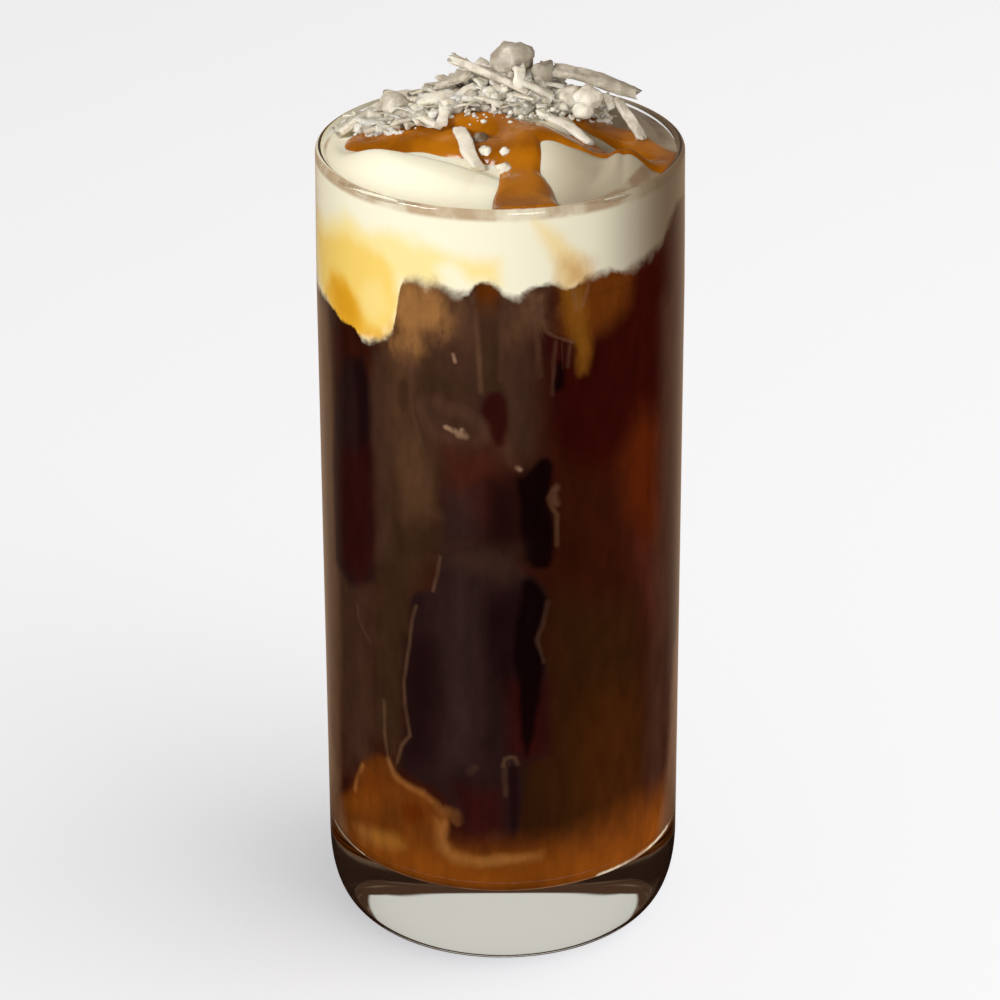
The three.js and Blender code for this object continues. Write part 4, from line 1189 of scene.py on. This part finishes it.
class DRINK_OT_coffee(bpy.types.Operator):
    """Fills the glass with the caramel layer and the coffee"""

    bl_idname = "drink.coffee"
    bl_label = "Coffee"

    def execute(self, context):
        def lapped_top(x, y):
            return foam_underside(x, y) + LAYER_LAP

        def lapped_caramel(x, y):
            return caramel_top(x, y) + LAYER_LAP

        make_coffee_group()
        coffee = layer(COFFEE_RADIUS, caramel_top, lapped_top, side_steps=200, steps=400)
        wall = make_wall_material("Drink at the wall")
        brew = finished("brew", coffee, wall, ["cold_brew"], crisp=40)
        caramel = layer(CARAMEL_RADIUS, glass_floor, lapped_caramel, side_steps=44, steps=400)
        swirl = finished("caramel_swirl", caramel, wall, ["caramel_layer"], crisp=40)
        for piece in (brew, swirl):
            record_places(piece, "coffee", COFFEE_SHAPES, COFFEE_LINES)
            record_places(piece, "foam", FOAM_SHAPES)
        return {"FINISHED"}


class DRINK_OT_foam(bpy.types.Operator):
    """Heaps the cold foam"""

    bl_idname = "drink.foam"
    bl_label = "Cold foam"

    def execute(self, context):
        def lapped_underside(x, y):
            return foam_underside(x, y) - FOAM_LAP

        bm = layer(FOAM_RADIUS, lapped_underside, foam_top, rings=90, side_steps=40)
        x, y, z = coordinates(bm)
        at_foot = (np.hypot(x, y) > FOAM_RADIUS - 0.01) & (z < lapped_underside(x, y) + 0.01)
        foot = [vert for vert, lowest in zip(bm.verts, at_foot) if lowest]
        narrower = FOAM_FOOT_RADIUS / FOAM_RADIUS
        bmesh.ops.scale(bm, vec=(narrower, narrower, 1), verts=foot)
        foam = finished("foam", bm, make_foam_material("Cold foam"), ["cold_foam"], crisp=40)
        record_places(foam, "foam", FOAM_SHAPES)
        record_places(foam, "coffee", COFFEE_SHAPES, COFFEE_LINES)
        foam.data.materials.append(make_wall_material("Foam at the wall"))
        for face in foam.data.polygons:
            if math.hypot(face.center.x, face.center.y) > (BORE_RADIUS - 0.05) * MM:
                face.material_index = 1
        return {"FINISHED"}


class DRINK_OT_drizzle(bpy.types.Operator):
    """Pours the caramel over the foam"""

    bl_idname = "drink.drizzle"
    bl_label = "Caramel drizzle"

    def execute(self, context):
        thickness = context.scene.drink_topping.sauce_thickness
        bm = bmesh.new()
        bmesh.ops.create_grid(bm, x_segments=DRIZZLE_GRID, y_segments=DRIZZLE_GRID, size=BORE_RADIUS * MM)
        x, y, _ = coordinates(bm)
        inside = np.full(x.shape, -1e3)
        for start, bend, end, widths in DRIZZLES:
            away, along, _ = nearest_on(curve_points(start, bend, end), x, y)
            half_width = np.interp(along, (0, 0.5, 1), widths)
            ragged = 0.35 * np.sin(0.55 * x + 0.3 * y) * np.sin(0.5 * y - 0.25 * x)
            depth = half_width + ragged - away
            inside = np.logaddexp(inside * DRIZZLE_MEETS, depth * DRIZZLE_MEETS) / DRIZZLE_MEETS
        lift = np.where(inside > 0, thickness * np.tanh(inside / DRIZZLE_SHOULDER), 0.9 * inside)
        reach, edge = np.hypot(x, y), BORE_RADIUS + 0.05
        keep = (inside > -0.5) & (reach < edge)
        gone = [vert for vert, kept in zip(bm.verts, keep) if not kept]
        stays = [vert for vert, kept in zip(bm.verts, keep) if kept]
        x, y, lift, inside, reach = (values[keep] for values in (x, y, lift, inside, reach))
        under = foam_top(x, y)
        ways = [(size * math.cos(turn), size * math.sin(turn)) for size in (1.3, 2.6) for turn in range(7)]
        settled = sum(foam_top(x + right, y + back) for right, back in ways) / len(ways)
        under = under + np.clip(settled - under, -0.35, 1.5) * smooth(0, 2.2, inside)
        to_wall = np.where(reach > edge - DRIZZLE_TO_WALL, edge / reach, 1)
        for vert, place in zip(stays, zip(x * to_wall, y * to_wall, under + lift)):
            vert.co = Vector(place) * MM
        bmesh.ops.delete(bm, geom=gone, context="VERTS")
        skin = bmesh.ops.extrude_face_region(bm, geom=list(bm.faces))["geom"]
        lower = [item for item in skin if isinstance(item, bmesh.types.BMVert)]
        bmesh.ops.translate(bm, verts=lower, vec=(0, 0, -DRIZZLE_DEPTH * MM))
        finished("drizzle", bm, make_caramel_material("Caramel"), ())
        return {"FINISHED"}


class DRINK_OT_coconut(bpy.types.Operator):
    """Heaps the shredded coconut and its crumbs"""

    bl_idname = "drink.coconut"
    bl_label = "Shredded coconut"

    def execute(self, context):
        settings = context.scene.drink_topping
        draw = random.Random(settings.seed)
        material = make_coconut_material("Coconut")
        shreds = bmesh.new()
        for index, (start, end, width, bow, tone) in enumerate(SHREDS_THAT_SHOW):
            add_shred(shreds, start, end, width, bow, tone, index, rings=28, sides=14)
        for index, (x, y, z) in enumerate(heap_places(settings.scattered_shreds, draw)):
            thin = index % 3 != 0
            turn = draw.uniform(0, math.pi)
            half = draw.uniform(1.4, 3.2) if thin else draw.uniform(2.2, 5.0)
            step = Vector((half * math.cos(turn), 0.7 * half * math.sin(turn), draw.uniform(-0.7, 0.9)))
            centre = Vector((x, y, z + draw.uniform(0.2, 0.9)))
            width = draw.uniform(0.35, 0.8) if thin else draw.uniform(1.0, 2.0)
            add_shred(shreds, centre - step, centre + step, width, 0.3, draw.uniform(0.4, 1.0), index + 40)
        kept_under_top(shreds)
        finished("coconut_shreds", shreds, material, ["coconut_heap"], crisp=38)
        lumps = bmesh.new()
        for index, (place, size, tone) in enumerate(COCONUT_LUMPS):
            add_lump(lumps, place, size, tone, index + 1)
        # Painted shade: the lumps of the buried core get darker tones than the pieces on top
        for index, (x, y, z) in enumerate(heap_places(CORE_LUMPS, draw, 0.9)):
            size = draw.uniform(1.4, 2.4)
            add_lump(lumps, (x, y, z - 1.4), size, draw.uniform(0.2, 0.6), index + 20, 2, 0.8, 0.5)
        for index, (x, y, z) in enumerate(heap_places(settings.bits, draw, 1.0)):
            size = draw.uniform(0.45, 1.25)
            place = (x, y, z + draw.uniform(-0.1, 0.9))
            add_lump(lumps, place, size, draw.uniform(0.4, 1.0), index + 700, 2, draw.uniform(0.5, 0.9), 0.6)
        for index, (x, y, z) in enumerate(heap_places(settings.flakes, draw, 1.0)):
            tilt = (draw.uniform(-0.7, 0.5), draw.uniform(-0.5, 0.5), draw.uniform(0, 6.3))
            place = (x, y, z + draw.uniform(-0.2, 0.7))
            add_flake(lumps, place, draw.uniform(0.9, 2.8), tilt, draw.uniform(0.45, 1.0), index + 300)
        kept_under_top(lumps)
        finished("coconut_lumps", lumps, material, ["coconut_heap"])
        crumbs = bmesh.new()
        for index, (x, y, z) in enumerate(heap_places(settings.crumbs, draw, 1.06)):
            size = 0.2 + 0.5 * draw.random() ** 2
            add_lump(crumbs, (x, y, z + 0.1), size, draw.uniform(0.6, 1.0), index + 200, 1, 0.8, 0.5)
        for index in range(settings.front_crumbs):
            along, across = draw.random(), draw.gauss(0, 1)
            x = -6 + 19 * along
            y = 1.5 - 2.5 * math.sin(math.pi * along) + 1.5 * across
            z = float(foam_top(np.array([x]), np.array([y]))[0])
            size = 0.16 + 0.5 * draw.random() ** 3
            add_lump(crumbs, (x, y, z + 0.9), size, draw.uniform(0.6, 1.0), index + 1200, 1, 0.8, 0.5)
        finished("coconut_crumbs", crumbs, material, ["coconut_heap"])
        return {"FINISHED"}


CAMERA_DISTANCE = 747
CAMERA_ELEVATION = 25.58
CAMERA_TARGET = (-0.28, 0, 81.74)
CAMERA_ROLL = -0.25
FOCAL_PIXELS = 4032
IMAGE_SIZE = 1000
SENSOR = 36
LIGHTS_AIM = (0, 0, 0.1)
FLOOR_HALF_SIZE = 4
FLOOR_GAP = 0.0002


def aimed(thing, target, roll=0):
    """Turns a camera or lamp towards a point."""
    turn = (Vector(target) - thing.location).to_track_quat("-Z", "Y").to_matrix().to_4x4()
    thing.rotation_euler = (turn @ Matrix.Rotation(math.radians(roll), 4, "Z")).to_euler()


def soft_light(name, azimuth, elevation, distance, size, power, receivers):
    """A square soft light aimed at the drink. Azimuth 0 is the camera's side, growing to the right."""
    lamp = bpy.data.lights.new(name, "AREA")
    lamp.size = size
    lamp.energy = power
    thing = bpy.data.objects.new(name, lamp)
    turn, rise = math.radians(azimuth), math.radians(elevation)
    way = Vector((math.sin(turn) * math.cos(rise), -math.cos(turn) * math.cos(rise), math.sin(rise)))
    thing.location = Vector(LIGHTS_AIM) + way * distance
    aimed(thing, LIGHTS_AIM)
    thing.visible_camera = thing.visible_transmission = False
    thing.light_linking.receiver_collection = receivers
    bpy.context.scene.collection.objects.link(thing)


def floor_link(name, floor, state):
    """A collection that has lights leave out the floor, or reach nothing else."""
    linked = bpy.data.collections.new(name)
    linked.objects.link(floor)
    linked.collection_objects[0].light_linking.link_state = state
    return linked


def make_floor(settings):
    """The flat floor under the drink."""
    bm = bmesh.new()
    bmesh.ops.create_grid(bm, x_segments=2, y_segments=2, size=FLOOR_HALF_SIZE)
    bmesh.ops.translate(bm, verts=bm.verts, vec=(0, 0, -FLOOR_GAP))
    mesh = bpy.data.meshes.new("Floor")
    bm.to_mesh(mesh)
    bm.free()
    mesh.materials.append(make_floor_material("Pale floor", settings))
    floor = bpy.data.objects.new("Floor", mesh)
    bpy.context.scene.collection.objects.link(floor)
    return floor


def make_world(settings):
    """The studio: even light, and what shows through the glass and in its reflections."""
    world = bpy.data.worlds.new("Studio")
    world.use_nodes = True
    tree = world.node_tree
    ray = node(tree, "ShaderNodeLightPath").outputs
    across, back, up = parts_of(tree, node(tree, "ShaderNodeTexCoord").outputs["Generated"])
    under = ramped(tree, up, BACKDROP_TOP + 0.004, BACKDROP_TOP - 0.004)
    beside = calc(tree, "ABSOLUTE", calc(tree, "ARCTAN2", across, back))
    lower = ramped(tree, up, BACKDROP_FOOT, BACKDROP_TOP, 1, 0, smoothly=False)
    arched = calc(tree, "SQRT", calc(tree, "SUBTRACT", 1, calc(tree, "MULTIPLY", lower, lower)))
    half_width = calc(tree, "MULTIPLY", arched, BACKDROP_SPREAD)
    within = ramped(tree, calc(tree, "SUBTRACT", beside, half_width), 0.03, -0.03)
    along, upwards = calc(tree, "MULTIPLY", beside, 1.2), calc(tree, "MULTIPLY", up, 26)
    streaked = node(tree, "ShaderNodeCombineXYZ", {0: along, 2: upwards}).outputs[0]
    streaks = ramped(tree, cloud(tree, streaked, 1), 0.52, 0.72, 0, 0.8)
    dark = mixed(tree, streaks, DARK_ROOM, STREAKS)
    backdrop = mixed(tree, calc(tree, "MULTIPLY", under, within), dark, ROOM_THROUGH_GLASS)
    room = mixed(tree, ramped(tree, back, 0.25, 0.88), REFLECTED_FRONT, REFLECTED_ROOM)
    shown = mixed(tree, ray["Is Transmission Ray"], room, backdrop)
    even = (*(settings.ambient * share for share in AMBIENT_TINT), 1)
    colour = mixed(tree, ray["Is Diffuse Ray"], shown, even)
    set_inputs(tree, tree.nodes["Background"], {"Color": colour})
    return world


def make_camera():
    """The camera that looks at the drink from the photograph's place."""
    camera = bpy.data.cameras.new("Camera")
    camera.sensor_width = SENSOR
    camera.lens = FOCAL_PIXELS / IMAGE_SIZE * SENSOR
    viewer = bpy.data.objects.new("Camera", camera)
    rise = math.radians(CAMERA_ELEVATION)
    target = Vector(CAMERA_TARGET) * MM
    viewer.location = target + Vector((0, -math.cos(rise), math.sin(rise))) * CAMERA_DISTANCE * MM
    aimed(viewer, target, CAMERA_ROLL)
    bpy.context.scene.collection.objects.link(viewer)
    return viewer


class DRINK_OT_stage(bpy.types.Operator):
    """Sets the floor, the studio light and the camera"""

    bl_idname = "drink.stage"
    bl_label = "Stage"

    def execute(self, context):
        scene, settings = context.scene, context.scene.drink_stage
        floor = make_floor(settings)
        scene.world = make_world(settings)
        all_but_floor = floor_link("Lit by the key light", floor, "EXCLUDE")
        floor_only = floor_link("Lit by the floor light", floor, "INCLUDE")
        soft_light("Key light", -58, 36, 1.2, 0.45, settings.key_power, all_but_floor)
        soft_light("Fill light", 15, 12, 1.2, 0.45, settings.fill_power, all_but_floor)
        soft_light("Floor light", 70, 58, 1.6, 1.7, settings.floor_light, floor_only)
        scene.camera = make_camera()
        scene.view_settings.view_transform = "Standard"
        return {"FINISHED"}


class DRINK_PT_panel(bpy.types.Panel):
    """The drink's settings and its makers"""

    bl_label = "Cold brew"
    bl_space_type = "VIEW_3D"
    bl_region_type = "UI"
    bl_category = "Drink"

    def draw(self, context):
        column = self.layout.column()
        for settings in (context.scene.drink_glass, context.scene.drink_topping, context.scene.drink_stage):
            for name in settings.__annotations__:
                column.prop(settings, name)
        for operator in OPERATORS:
            column.operator(operator.bl_idname)


SETTINGS = {"drink_glass": GlassSettings, "drink_topping": ToppingSettings, "drink_stage": StageSettings}
OPERATORS = (
    DRINK_OT_glass, DRINK_OT_coffee, DRINK_OT_foam, DRINK_OT_drizzle, DRINK_OT_coconut, DRINK_OT_stage,
)


def register():
    for name, kind in SETTINGS.items():
        bpy.utils.register_class(kind)
        setattr(bpy.types.Scene, name, PointerProperty(type=kind))
    for kind in (*OPERATORS, DRINK_PT_panel):
        bpy.utils.register_class(kind)


def unregister():
    for kind in (*OPERATORS, DRINK_PT_panel):
        bpy.utils.unregister_class(kind)
    for name, kind in SETTINGS.items():
        delattr(bpy.types.Scene, name)
        bpy.utils.unregister_class(kind)


def main():
    register()
    bpy.ops.drink.glass()
    bpy.ops.drink.coffee()
    bpy.ops.drink.foam()
    bpy.ops.drink.drizzle()
    bpy.ops.drink.coconut()
    bpy.ops.drink.stage()


if __name__ == "__main__":
    main()
